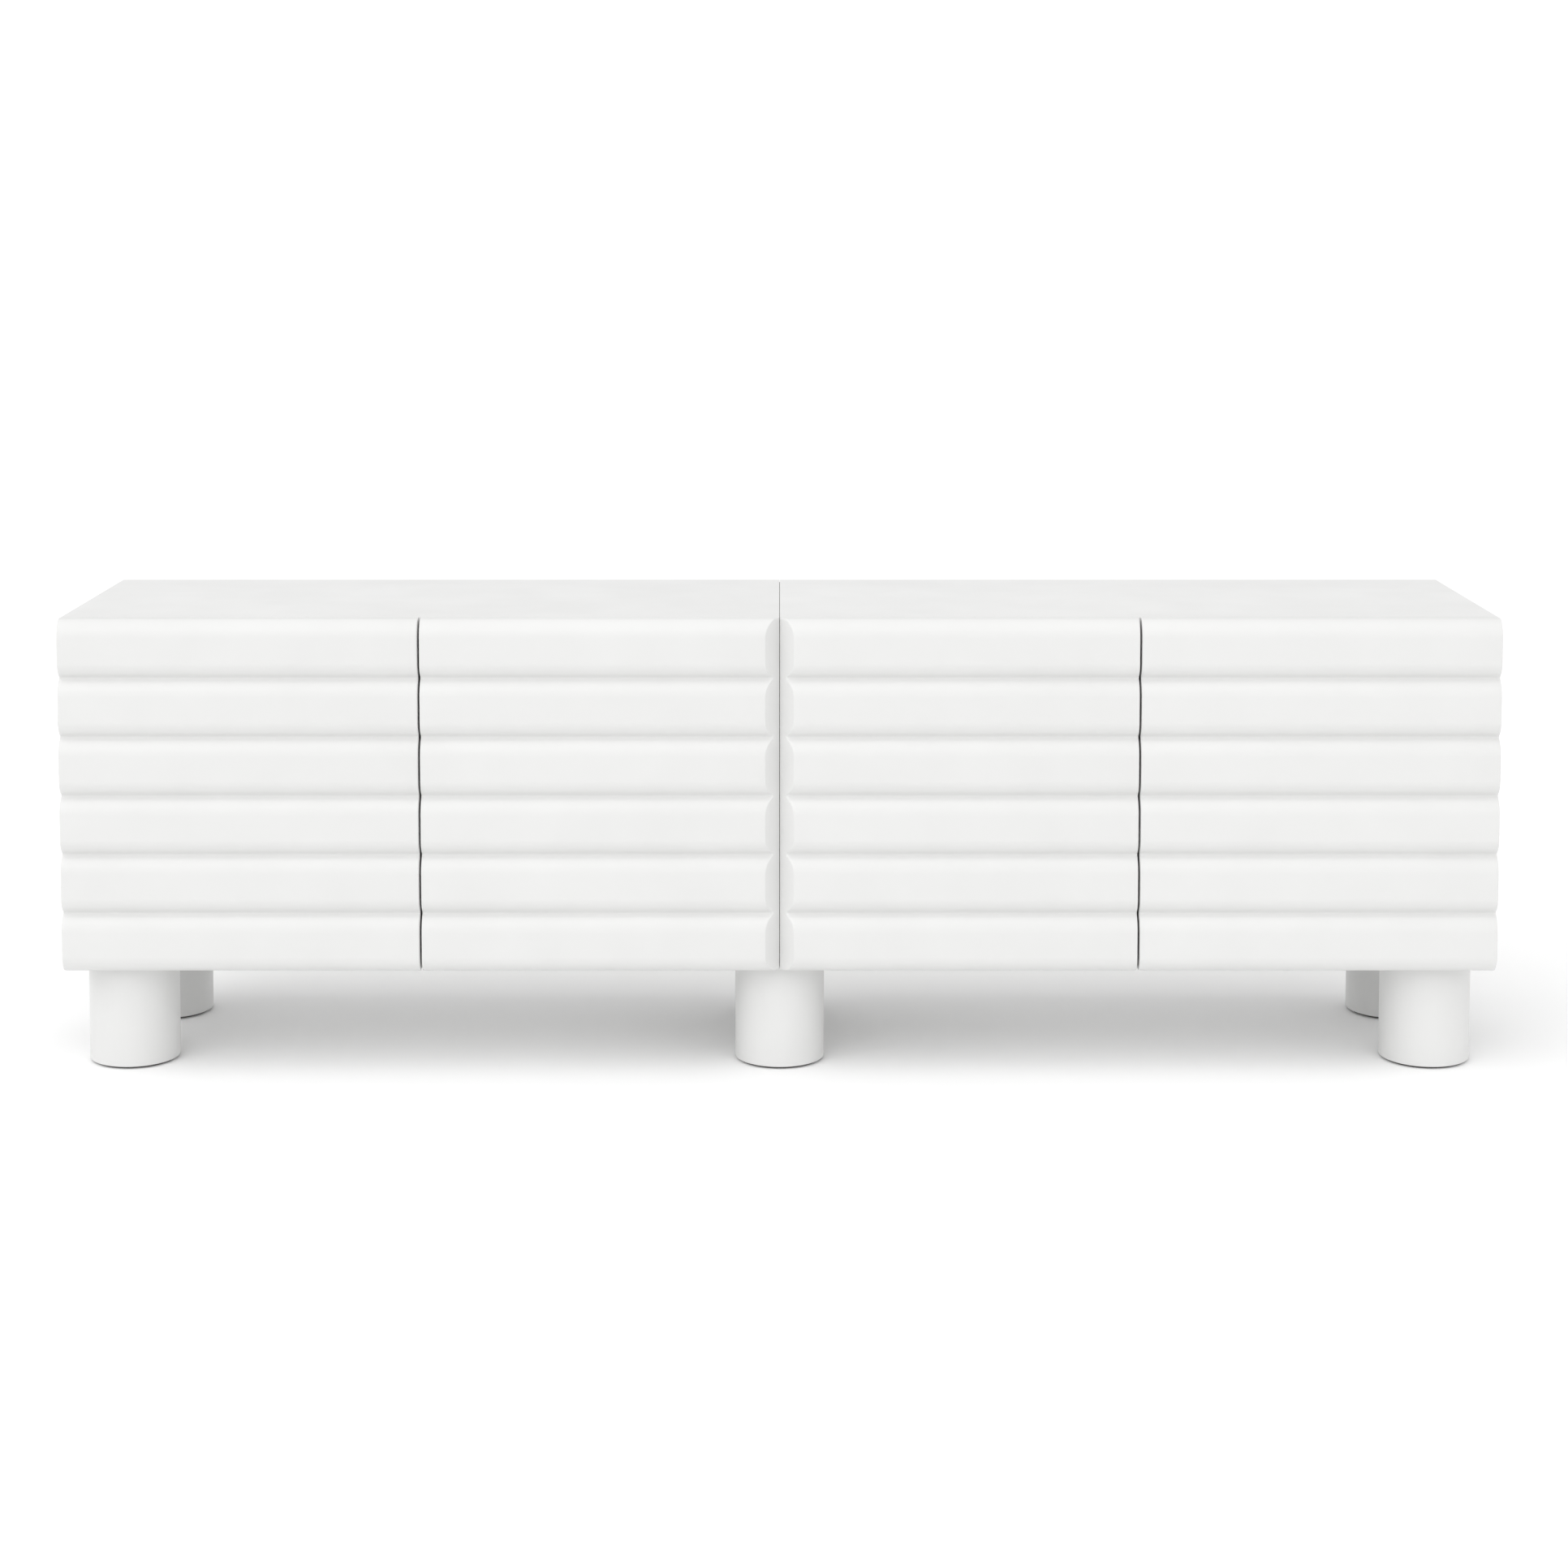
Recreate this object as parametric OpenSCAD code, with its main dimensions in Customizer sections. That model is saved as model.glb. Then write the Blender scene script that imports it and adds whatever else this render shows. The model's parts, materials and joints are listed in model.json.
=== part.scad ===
// Low media cabinet: two cabinets side by side on six round legs, with four
// ribbed doors on concealed hinges and push-to-open latches.
// Millimetres. +Z up, -Y is the front, origin on the floor under the middle.

/* [Overall size] */
// Width over both cabinets
overall_w = 1800; // [1400:10:2400]
// Depth from the crown of the door ribs to the back
overall_d = 375; // [310:5:480]
// Height from the floor to the top surface
overall_h = 580; // [480:5:760]
// Height of the underside above the floor
leg_h = 133; // [90:1:200]

/* [Cabinets] */
// Thickness of the top panels
top_t = 20; // [16:1:30]
// Thickness of the side panels
side_t = 18; // [16:1:25]
// Thickness of the bottom panels
bottom_t = 18; // [16:1:30]
// Thickness of the shelves
shelf_t = 18; // [15:1:25]
// Thickness of the back panels
back_t = 6; // [3:0.5:10]
// How far the back panels lie in from the rear edges
back_inset = 8; // [4:1:20]
// Seam between the two cabinets
seam = 0.6; // [0.4:0.1:2]
// How far the shelves stand back from the front edges
shelf_setback = 22; // [5:1:60]

/* [Doors] */
// Door thickness at the crown of the ribs
door_t = 22; // [21:0.5:28]
// Number of ribs from top to bottom
rib_count = 6; // [4:1:7]
// Depth of the grooves between the ribs
groove_d = 13.5; // [8:0.5:14]
// Height of the long rounding above each crown
rib_upper_h = 24; // [14:1:28]
// Height of the short rounding below each crown
rib_lower_h = 20; // [14:1:26]
// Gap between the two doors of a cabinet
door_gap = 2.5; // [2:0.5:6]
// Space between the doors and the cabinets' front edges
door_air = 2; // [2:0.1:4]
// Radius of the eased door ends
end_ease = 1.5; // [0.5:0.5:3]
// Width of the bevel on the doors beside the seam
bevel_w = 17.7; // [14:0.1:19]
// Uncut edge behind that bevel
bevel_land = 2.2; // [2:0.1:4]

/* [Legs] */
// Leg diameter
leg_d = 114; // [96:1:130]
// Distance from a cabinet's end to the middle of the outer legs
leg_inset_x = 71; // [66:1:140]
// Distance from the rib crowns to the middle of the front legs
leg_inset_front = 88.8; // [84:0.2:120]
// Distance from the back to the middle of the rear legs
leg_inset_rear = 67.2; // [60:0.2:100]
// Edge bevel on the legs
leg_bevel = 1; // [0.5:0.5:4]
// How far the felt glides lie in from the legs' edges
glide_inset = 5; // [1:0.5:15]
// Thickness of the felt glides
glide_t = 3; // [2:0.5:6]

/* [Hinges] */
// Diameter of the hinge cups
cup_d = 35; // [35:0.5:36]
// Depth of the hinge cups
cup_depth = 10.4; // [10:0.1:10.4]
// Distance from the door's edge to the cup
cup_edge = 7.9; // [7.8:0.1:8.2]
// Diameter of the hinge pins
hinge_pin_d = 2.4; // [2:0.1:2.6]
// Width of the hinge links
link_w = 7; // [5:0.5:7]
// Thickness of the hinge links
link_t = 1.8; // [1.4:0.1:2]

/* [Latches] */
// Diameter of the latch plungers
plunger_d = 6.8; // [5:0.1:8]
// Length of the latch plungers
plunger_l = 58; // [50:1:65]
// Length of the latch housings
latch_l = 72; // [68:1:90]
// Height and width of the latch housings
latch_size = 15; // [12:1:18]
// Distance from a door's free end to its latch
latch_inset = 34; // [20:1:80]

/* [Fittings] */
// Outside diameter of the cable grommets' tubes
grommet_d = 60; // [50:1:80]
// Diameter of the dowels
dowel_d = 8; // [6:1:10]
// Length of the dowels
dowel_l = 28; // [24:1:30]
// Diameter of the shelf pins
shelf_pin_d = 5; // [4:1:6]
// Diameter of the leg plates
leg_plate_d = 80; // [70:1:90]

/* [Hidden] */
$fn = 64;
eps = 0.01;
// names, in order from left to right
DOORS = ["outer_left", "inner_left", "inner_right", "outer_right"];
SIDES = ["left", "right"];
LEGS = ["leg_front_left", "leg_front_middle", "leg_front_right",
        "leg_rear_left", "leg_rear_middle", "leg_rear_right"];

// colours
lacquer = [0.93, 0.93, 0.92];
inner_white = [0.90, 0.90, 0.88];
steel = [0.72, 0.73, 0.75];
dark_steel = [0.45, 0.46, 0.48];
felt_grey = [0.35, 0.35, 0.36];
beech = [0.80, 0.64, 0.44];
plastic_grey = [0.62, 0.63, 0.64];

// fits
pin_fit = 0.05;        // radial clearance of a pin in its hole
snug = 0.1;            // clearance round a piece let into a panel
slide_fit = 0.1;       // radial clearance of a latch plunger

// planes, measured back from the rib crowns or up from the floor
front_y = -overall_d / 2;
back_y = overall_d / 2;
edge_v = door_t + door_air;              // the cabinets' front edges
cabinet_d = overall_d - edge_v;
cabinet_y = front_y + edge_v;
floor_z = leg_h + bottom_t;              // inside bottom
ceiling_z = overall_h - top_t;           // inside top
inside_h = ceiling_z - floor_z;
cabinet_w = (overall_w - seam) / 2;
cabinet_x = seam / 2;                    // the seam face of the right cabinet
inside_w = cabinet_w - 2 * side_t;

// back panels, in grooves
groove_fit = 0.2;
groove_bite = 5;
groove_depth = groove_bite + 0.5;
back_face_y = back_y - back_inset - back_t;

// doors
door_w = (cabinet_w - door_gap) / 2;
door_h = overall_h - leg_h;
rib_pitch = door_h / rib_count;
crown_z = rib_lower_h + (rib_pitch - rib_lower_h - rib_upper_h) / 2;
upper_r = (rib_upper_h * rib_upper_h + groove_d * groove_d) / (2 * groove_d);
lower_r = (rib_lower_h * rib_lower_h + groove_d * groove_d) / (2 * groove_d);
bevel_d = door_t - bevel_land;
door_edge_x = [-overall_w / 2, -seam / 2, seam / 2, overall_w / 2];
door_mirrored = [false, true, false, true];

// hinges: heights of the two hinges, and the hinge's own places in u (from
// the door's hinge edge) and v (back from the rib crowns)
hinge_ribs = [1, rib_count - 2];
hinge_z = [for (r = hinge_ribs) leg_h + r * rib_pitch + crown_z];
cup_u = cup_edge + cup_d / 2;
cup_wall = 0.6;
cup_floor_v = door_t - cup_depth + cup_wall;
door_pin_u = cup_edge + 3.6;
door_pin_depth = 5.7;
door_pin_v = door_t - door_pin_depth;
arm_pin_u = door_pin_u + 23;
arm_pin_v = door_pin_v + 12;
knee_u = door_pin_u + 9;
knee_v = door_pin_v - 2.9;
eye_r = hinge_pin_d / 2 + 1;
flange_t = 0.8;
flange_overlap = 2;
flange_start = 7;                        // flange begins this far short of the cup's middle
boss_d = 8;
boss_spacing = 48;
boss_offset = 6;
boss_depth = door_t - groove_d - 1.5;
lug_gap = 0.5;                           // side play between link and lugs
lug_end = 9;
lug_reach = 2.5;
cheek_t = 1.2;
cheek_gap = 0.4;
cheek_in = link_w / 2 + cheek_gap;
cheek_out = cheek_in + cheek_t;
arm_eye_r = 3.2;
arm_top = side_t + 13.4;                 // outer face of the arm's web
arm_low = side_t + 6;                    // lower edge of the arm's cheeks
arm_neck_v = edge_v + 15;
arm_end_v = edge_v + 64;
plate_base_t = 2;
plate_screw_v = edge_v + 37;
plate_screw_spacing = 32;
plate_wing_w = 22;
plate_wing_h = 52;
plate_bar_start = edge_v + 20;
plate_bar_end = edge_v + 60;
arm_screw_v = edge_v + 48;
screw_d = 4;
screw_l = 14;
screw_head_d = 7.5;
screw_head_h = 2;

// latches
strike_d = 16;
strike_t = 1.2;
strike_gap = 0.3;
plunger_v = door_t + strike_t + strike_gap;
latch_v = edge_v + 3;
latch_z = ceiling_z - latch_size / 2;
latch_bore_l = plunger_l + 4;
latch_screw_v = [latch_v + 5.5, latch_v + latch_l - 4];
latch_ear_w = 11;
latch_ear_l = 9;
latch_ear_t = 2.5;
latch_screw_l = 12;
latch_screw_d = 3;
latch_screw_head_d = 6;
latch_screw_head_h = 1.6;

// legs
leg_x = [-overall_w / 2 + leg_inset_x, 0, overall_w / 2 - leg_inset_x];
leg_y = [front_y + leg_inset_front, back_y - leg_inset_rear];
glide_d = leg_d - 2 * glide_inset;
leg_plate_t = 3;
leg_plate_pcd = 60;
leg_bolt_d = 8;
leg_bolt_l = 52;
leg_screw_d = 4;
leg_screw_l = 13;
leg_screw_head_d = 8;
leg_screw_head_h = 1.5;

// shelves
shelf_side_gap = 1;
shelf_rear_gap = 3;
shelf_z = floor_z + (inside_h - shelf_t) / 2;
shelf_pin_v = [edge_v + 50, edge_v + cabinet_d - back_inset - back_t - 60];
shelf_pin_depth = 8;
shelf_pin_reach = 8;
shelf_pin_step = 32;
shelf_pin_z = shelf_z - shelf_pin_d / 2;

// joints between panels and between cabinets
dowel_v = [edge_v + 45, edge_v + cabinet_d / 2, edge_v + cabinet_d - 45];
dowel_bite = 11;                         // how far a dowel enters a top or bottom panel
connector_d = 6;
connector_head_d = 14;
connector_head_h = 2.5;
connector_v = [edge_v + 110, edge_v + cabinet_d - 70];
connector_z = [floor_z + 45, ceiling_z - 45];

// cable outlets
grommet_bore_d = grommet_d - 6;
grommet_flange_d = grommet_d + 12;
grommet_flange_t = 1.8;
grommet_x = cabinet_x + cabinet_w / 2;
grommet_z = floor_z + 70;

// ---------- placing ----------

// children drawn for the right cabinet stand in the left or right one
module in_cabinet(s) {
  if (s == "left") mirror([1, 0, 0]) children();
  else children();
}

// children drawn in a door's own u, v and height stand at door k
module at_door(k) {
  translate([door_edge_x[k], front_y, 0])
    if (door_mirrored[k]) mirror([1, 0, 0]) children();
    else children();
}

// a block between two corners
module block(low, high) {
  translate(low) cube(high - low);
}

// cylinders along u and along v, from a start point
module rod_u(p, d, l) {
  translate(p) rotate([0, 90, 0]) cylinder(d = d, h = l);
}

module rod_v(p, d, l) {
  translate(p) rotate([-90, 0, 0]) cylinder(d = d, h = l);
}

module rod_z(p, d, l) {
  translate(p) cylinder(d = d, h = l);
}

// ---------- cabinets ----------

// holes for the dowels that join the sides to one top or bottom panel
module dowels_at(z, d, l) {
  for (x = [cabinet_x + side_t / 2, cabinet_x + cabinet_w - side_t / 2])
    for (v = dowel_v)
      rod_z([x, front_y + v, z], d, l);
}

module dowel_holes() {
  d = dowel_d + 2 * pin_fit;
  l = dowel_l + 2 * snug;
  dowels_at(floor_z - dowel_bite - snug, d, l);
  dowels_at(ceiling_z + dowel_bite + snug - l, d, l);
}

module back_groove() {
  y0 = back_face_y - groove_fit;
  inner_x = cabinet_x + side_t - groove_depth;
  outer_x = cabinet_x + cabinet_w - side_t + groove_depth;
  block([inner_x, y0, floor_z - groove_depth],
        [outer_x, y0 + back_t + 2 * groove_fit, ceiling_z + groove_depth]);
}

module panel_cuts() {
  dowel_holes();
  back_groove();
}

module top_panel(s) {
  color(lacquer) in_cabinet(s) difference() {
    block([cabinet_x, cabinet_y, ceiling_z], [cabinet_x + cabinet_w, back_y, overall_h]);
    panel_cuts();
    latch_screw_holes();
  }
}

module bottom_panel(s) {
  color(lacquer) in_cabinet(s) difference() {
    block([cabinet_x, cabinet_y, leg_h], [cabinet_x + cabinet_w, back_y, floor_z]);
    panel_cuts();
    for (x = leg_x) for (y = leg_y) translate([x, y, 0]) leg_screws(pin_fit);
  }
}

module shelf_pin_holes(x) {
  for (v = shelf_pin_v)
    for (i = [-2:2])
      rod_u([x, front_y + v, shelf_pin_z + i * shelf_pin_step],
            shelf_pin_d + 2 * pin_fit, shelf_pin_depth + snug);
}

module outer_side(s) {
  k = 3;
  x = cabinet_x + cabinet_w - side_t;
  color(lacquer) in_cabinet(s) difference() {
    block([x, cabinet_y, floor_z], [x + side_t, back_y, ceiling_z]);
    panel_cuts();
    shelf_pin_holes(x - eps);
    at_door(k) plate_screws(pin_fit);
  }
}

module inner_side(s) {
  k = 2;
  x = cabinet_x;
  color(inner_white) in_cabinet(s) difference() {
    block([x, cabinet_y, floor_z], [x + side_t, back_y, ceiling_z]);
    panel_cuts();
    shelf_pin_holes(x + side_t - shelf_pin_depth - snug + eps);
    at_door(k) plate_screws(pin_fit);
    for (v = connector_v)
      for (z = connector_z)
        rod_u([x - eps, front_y + v, z], connector_d + 2 * snug, side_t + 2 * eps);
  }
}

module back_panel(s) {
  low = [cabinet_x + side_t - groove_bite, back_face_y, floor_z - groove_bite];
  high = [cabinet_x + cabinet_w - side_t + groove_bite, back_face_y + back_t, ceiling_z + groove_bite];
  color(inner_white) in_cabinet(s) difference() {
    block(low, high);
    rod_v([grommet_x, back_face_y - eps, grommet_z], grommet_d + 2 * snug, back_t + 2 * eps);
  }
}

module shelf(s) {
  low = [cabinet_x + side_t + shelf_side_gap, cabinet_y + shelf_setback, shelf_z];
  high = [cabinet_x + cabinet_w - side_t - shelf_side_gap, back_face_y - shelf_rear_gap, shelf_z + shelf_t];
  color(inner_white) in_cabinet(s) block(low, high);
}

// a tube through the back panel with a rim on each face
module cable_grommet(s) {
  rim_y = back_face_y - grommet_flange_t;
  color(plastic_grey) in_cabinet(s) difference() {
    union() {
      rod_v([grommet_x, rim_y, grommet_z], grommet_d, back_t + 2 * grommet_flange_t);
      for (y = [rim_y, back_face_y + back_t])
        rod_v([grommet_x, y, grommet_z], grommet_flange_d, grommet_flange_t);
    }
    rod_v([grommet_x, rim_y - eps, grommet_z], grommet_bore_d, back_t + 2 * grommet_flange_t + 2 * eps);
  }
}

module panel_dowels() {
  color(beech) for (s = SIDES) in_cabinet(s) {
    dowels_at(floor_z - dowel_bite, dowel_d, dowel_l);
    dowels_at(ceiling_z + dowel_bite - dowel_l, dowel_d, dowel_l);
  }
}

module shelf_pins() {
  left_x = cabinet_x + side_t - shelf_pin_depth;
  right_x = cabinet_x + cabinet_w - side_t - shelf_pin_reach;
  color(steel) for (s = SIDES) in_cabinet(s)
    for (x = [left_x, right_x])
      for (v = shelf_pin_v)
        rod_u([x, front_y + v, shelf_pin_z], shelf_pin_d, shelf_pin_depth + shelf_pin_reach);
}

// a sleeve bolt through both inner sides, with a flat head at each end
module cabinet_connectors() {
  reach = cabinet_x + side_t;
  color(steel) for (v = connector_v) for (z = connector_z) {
    rod_u([-reach, front_y + v, z], connector_d, 2 * reach);
    for (x = [-reach - connector_head_h, reach])
      rod_u([x, front_y + v, z], connector_head_d, connector_head_h);
  }
}

// ---------- legs ----------

module leg_screws(play) {
  for (a = [45:90:315]) rotate([0, 0, a])
    rod_z([leg_plate_pcd / 2, 0, leg_h - eps], leg_screw_d + 2 * play, leg_screw_l + play);
}

// a solid turned cylinder with eased edges, recessed for its plate
module leg(x, y) {
  r = leg_d / 2;
  recess_r = leg_plate_d / 2 + snug;
  recess_z = leg_h - leg_plate_t - snug;
  bolt_z = leg_h - leg_bolt_l - snug;
  color(lacquer) translate([x, y, 0]) difference() {
    rotate_extrude() polygon([
      [0, glide_t], [r - leg_bevel, glide_t], [r, glide_t + leg_bevel],
      [r, leg_h - leg_bevel], [r - leg_bevel, leg_h], [0, leg_h]]);
    rod_z([0, 0, recess_z], 2 * recess_r, leg_plate_t + 1);
    rod_z([0, 0, bolt_z], leg_bolt_d + 2 * pin_fit, leg_bolt_l);
  }
}

module leg_node(i) {
  leg(leg_x[i % 3], leg_y[floor(i / 3)]);
}

module at_legs() {
  for (x = leg_x) for (y = leg_y) translate([x, y, 0]) children();
}

module leg_glides() {
  color(felt_grey) at_legs() cylinder(d = glide_d, h = glide_t);
}

// a disc screwed to the underside, tapped for the leg's bolt
module leg_plates() {
  z = leg_h - leg_plate_t;
  color(dark_steel) at_legs() difference() {
    rod_z([0, 0, z], leg_plate_d, leg_plate_t);
    rod_z([0, 0, z - eps], leg_bolt_d + 2 * pin_fit, leg_plate_t + 2 * eps);
    for (a = [45:90:315]) rotate([0, 0, a]) {
      rod_z([leg_plate_pcd / 2, 0, z - eps], leg_screw_d + 2 * pin_fit, leg_plate_t + 2 * eps);
      rod_z([leg_plate_pcd / 2, 0, z - eps], leg_screw_head_d + 2 * pin_fit, leg_screw_head_h + eps);
    }
  }
}

module leg_bolts() {
  color(steel) at_legs() rod_z([0, 0, leg_h - leg_bolt_l], leg_bolt_d, leg_bolt_l);
}

module leg_plate_screws() {
  z = leg_h - leg_plate_t;
  color(steel) at_legs() for (a = [45:90:315]) rotate([0, 0, a]) {
    rod_z([leg_plate_pcd / 2, 0, z], leg_screw_d, leg_plate_t + leg_screw_l);
    rod_z([leg_plate_pcd / 2, 0, z], leg_screw_head_d, leg_screw_head_h);
  }
}

// ---------- doors ----------

// section of one rib in front of and into the board, crown at x = 0, from y = 0
// up to the rib pitch
module rib_section() {
  intersection() {
    square([door_t, rib_pitch]);
    union() {
      translate([0, rib_lower_h]) square([door_t, rib_pitch - rib_upper_h - rib_lower_h]);
      translate([upper_r, rib_pitch - rib_upper_h]) circle(upper_r);
      translate([lower_r, rib_lower_h]) circle(lower_r);
    }
  }
}

// section of a door: one board with the ribs on its front
module door_section() {
  translate([groove_d, 0]) square([door_t - groove_d, door_h]);
  for (i = [0:rib_count - 1]) translate([0, i * rib_pitch]) rib_section();
}

// plan of a door, hinge edge at x = 0, crown at y = 0
module door_plan(bevelled) {
  difference() {
    union() {
      translate([0, end_ease]) square([door_w, door_t - end_ease]);
      translate([end_ease, 0]) square([door_w - 2 * end_ease, door_t]);
      for (x = [end_ease, door_w - end_ease]) translate([x, end_ease]) circle(end_ease);
    }
    if (bevelled)
      polygon([[bevel_w, 0], [0, bevel_d], [-1, bevel_d], [-1, -1], [bevel_w, -1]]);
  }
}

module door(k) {
  bevelled = k == 1 || k == 2;
  color(lacquer) at_door(k) difference() {
    intersection() {
      translate([0, 0, leg_h]) rotate([90, 0, 90]) linear_extrude(door_w) door_section();
      translate([0, 0, leg_h]) linear_extrude(door_h) door_plan(bevelled);
    }
    for (z = hinge_z) translate([cup_u, 0, z]) {
      rod_v([0, door_t - cup_depth - snug, 0], cup_d + 2 * snug, cup_depth + 1);
      for (side = [-1, 1])
        rod_v([boss_offset, door_t - boss_depth - snug, side * boss_spacing / 2],
              boss_d + 2 * snug, boss_depth + 1);
    }
  }
}

// ---------- hinges ----------

// outline of the cup's flange, seen from behind the door
module flange_outline() {
  wing_w = boss_d + 3;
  intersection() {
    circle(d = cup_d + 2 * flange_overlap);
    translate([-flange_start, -cup_d]) square([2 * cup_d, 2 * cup_d]);
  }
  translate([boss_offset - wing_w / 2, -boss_spacing / 2]) square([wing_w, boss_spacing]);
  for (side = [-1, 1]) translate([boss_offset, side * boss_spacing / 2]) circle(d = wing_w);
}

module hinge_cup() {
  floor_depth = door_t - cup_depth;
  difference() {
    union() {
      rod_v([0, floor_depth, 0], cup_d, cup_depth);
      translate([0, door_t + flange_t, 0]) rotate([90, 0, 0]) linear_extrude(flange_t) flange_outline();
      for (side = [-1, 1])
        rod_v([boss_offset, door_t - boss_depth, side * boss_spacing / 2], boss_d, boss_depth);
    }
    difference() {
      rod_v([0, floor_depth + cup_wall, 0], cup_d - 2 * cup_wall, cup_depth + 1);
      for (side = [-1, 1]) hinge_lug(side);
    }
    rod_z([door_pin_u - cup_u, door_pin_v, -lug_end], hinge_pin_d + 2 * pin_fit, 2 * lug_end);
  }
}

// a lug inside the cup that holds one end of the pin
module hinge_lug(side) {
  u = door_pin_u - cup_u;
  z0 = side > 0 ? link_w / 2 + lug_gap : -lug_end - 1;
  z1 = side > 0 ? lug_end + 1 : -link_w / 2 - lug_gap;
  block([-cup_d, 0, z0], [u + lug_reach, door_pin_v + lug_reach, z1]);
}

module hinge_cups(k) {
  color(steel) at_door(k) for (z = hinge_z) translate([cup_u, 0, z]) hinge_cup();
}

module hinge_cup_pins(k) {
  half = lug_end - 0.3;
  color(dark_steel) at_door(k) for (z = hinge_z)
    rod_z([door_pin_u, door_pin_v, z - half], hinge_pin_d, 2 * half);
}

// a strip between two points in the u-v plane, as wide as the link is thick
module strip(a, b) {
  d = b - a;
  translate(a) rotate(atan2(d[1], d[0])) translate([0, -link_t / 2]) square([norm(d), link_t]);
}

// outline of a link: two eyes and a strip bent at the knee to clear the cup's rim
module link_outline() {
  door_pin = [door_pin_u, door_pin_v];
  knee = [knee_u, knee_v];
  arm_pin = [arm_pin_u, arm_pin_v];
  difference() {
    union() {
      strip(door_pin, knee);
      strip(knee, arm_pin);
      translate(knee) circle(d = link_t);
      translate(door_pin) circle(eye_r);
      translate(arm_pin) circle(eye_r);
    }
    translate(door_pin) circle(hinge_pin_d / 2 + pin_fit);
    translate(arm_pin) circle(hinge_pin_d / 2 + pin_fit);
  }
}

module hinge_links(k) {
  color(steel) at_door(k) for (z = hinge_z)
    translate([0, 0, z - link_w / 2]) linear_extrude(link_w) link_outline();
}

// side of an arm: a long strip with a neck that rises to the pin
module cheek_outline() {
  difference() {
    union() {
      translate([arm_low, arm_neck_v]) square([arm_top - arm_low, arm_end_v - arm_neck_v]);
      translate([arm_pin_u, arm_pin_v]) circle(arm_eye_r);
      polygon([[arm_pin_u - arm_eye_r, arm_pin_v], [arm_pin_u + arm_eye_r, arm_pin_v],
               [arm_top, arm_neck_v + 4], [arm_low, arm_neck_v + 4]]);
    }
    translate([arm_pin_u, arm_pin_v]) circle(hinge_pin_d / 2 + pin_fit);
  }
}

module hinge_arm() {
  for (z = [-cheek_out, cheek_in])
    translate([0, 0, z]) linear_extrude(cheek_t) cheek_outline();
  difference() {
    block([arm_top - cheek_t, arm_neck_v, -cheek_out], [arm_top, arm_end_v, cheek_out]);
    rod_u([arm_top - 2 * cheek_t, arm_screw_v, 0], screw_d + 2 * snug, 4 * cheek_t);
  }
}

module at_hinges() {
  for (k = [0:3]) at_door(k) for (z = hinge_z) translate([0, 0, z]) children();
}

module hinge_arms() {
  color(steel) at_hinges() hinge_arm();
}

module hinge_arm_pins() {
  color(dark_steel) at_hinges() rod_z([arm_pin_u, arm_pin_v, -cheek_out], hinge_pin_d, 2 * cheek_out);
}

// mounting plate: two wings screwed to the side panel and a bar that carries the arm
module hinge_plates() {
  bar_top = arm_top - cheek_t;
  color(steel) at_hinges() difference() {
    union() {
      block([side_t, plate_screw_v - plate_wing_w / 2, -plate_wing_h / 2],
            [side_t + plate_base_t, plate_screw_v + plate_wing_w / 2, plate_wing_h / 2]);
      block([side_t, plate_bar_start, -link_w / 2], [bar_top, plate_bar_end, link_w / 2]);
    }
    plate_screws_here(pin_fit);
    rod_u([side_t + plate_base_t, arm_screw_v, 0], screw_d + 2 * pin_fit, bar_top);
  }
}

// the two wood screws of one mounting plate, in the plate's own height
module plate_screws_here(play) {
  start = side_t + plate_base_t - screw_l;
  for (side = [-1, 1])
    rod_u([start - play, plate_screw_v, side * plate_screw_spacing / 2],
          screw_d + 2 * play, screw_l + 2 * play);
}

module plate_screws(play) {
  for (z = hinge_z) translate([0, 0, z]) plate_screws_here(play);
}

module hinge_screws() {
  color(dark_steel) at_hinges() {
    plate_screws_here(0);
    for (side = [-1, 1])
      rod_u([side_t + plate_base_t, plate_screw_v, side * plate_screw_spacing / 2],
            screw_head_d, screw_head_h);
    rod_u([side_t + plate_base_t + 1, arm_screw_v, 0], screw_d, arm_top - side_t - plate_base_t - 1);
    rod_u([arm_top, arm_screw_v, 0], screw_head_d, screw_head_h);
  }
}

// ---------- push-to-open latches ----------

module at_latches() {
  for (k = [0:3]) at_door(k) translate([door_w - latch_inset, 0, 0]) children();
}

// one screw place on each side of a housing, in front on one side and behind on the other
module at_latch_screws() {
  for (i = [0, 1])
    translate([(i == 0 ? -1 : 1) * (latch_size / 2 + latch_ear_w / 2), latch_screw_v[i], ceiling_z])
      children();
}

module latch_screw_holes() {
  for (k = [2, 3]) at_door(k) translate([door_w - latch_inset, 0, 0]) at_latch_screws()
    rod_z([0, 0, -eps], latch_screw_d + 2 * pin_fit, latch_screw_l - latch_ear_t + snug);
}

module latch_housings() {
  half = latch_size / 2;
  color(plastic_grey) at_latches() difference() {
    union() {
      block([-half, latch_v, ceiling_z - latch_size], [half, latch_v + latch_l, ceiling_z]);
      at_latch_screws()
        block([-latch_ear_w / 2 - 1, -latch_ear_l / 2, -latch_ear_t], [latch_ear_w / 2 + 1, latch_ear_l / 2, 0]);
    }
    rod_v([0, latch_v - eps, latch_z], plunger_d + 2 * slide_fit, latch_bore_l);
    at_latch_screws() rod_z([0, 0, -latch_ear_t - eps], latch_screw_d + 2 * pin_fit, latch_ear_t + 2 * eps);
  }
}

module latch_screws() {
  color(dark_steel) at_latches() at_latch_screws() {
    rod_z([0, 0, -latch_ear_t], latch_screw_d, latch_screw_l);
    rod_z([0, 0, -latch_ear_t - latch_screw_head_h], latch_screw_head_d, latch_screw_head_h);
  }
}

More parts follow.
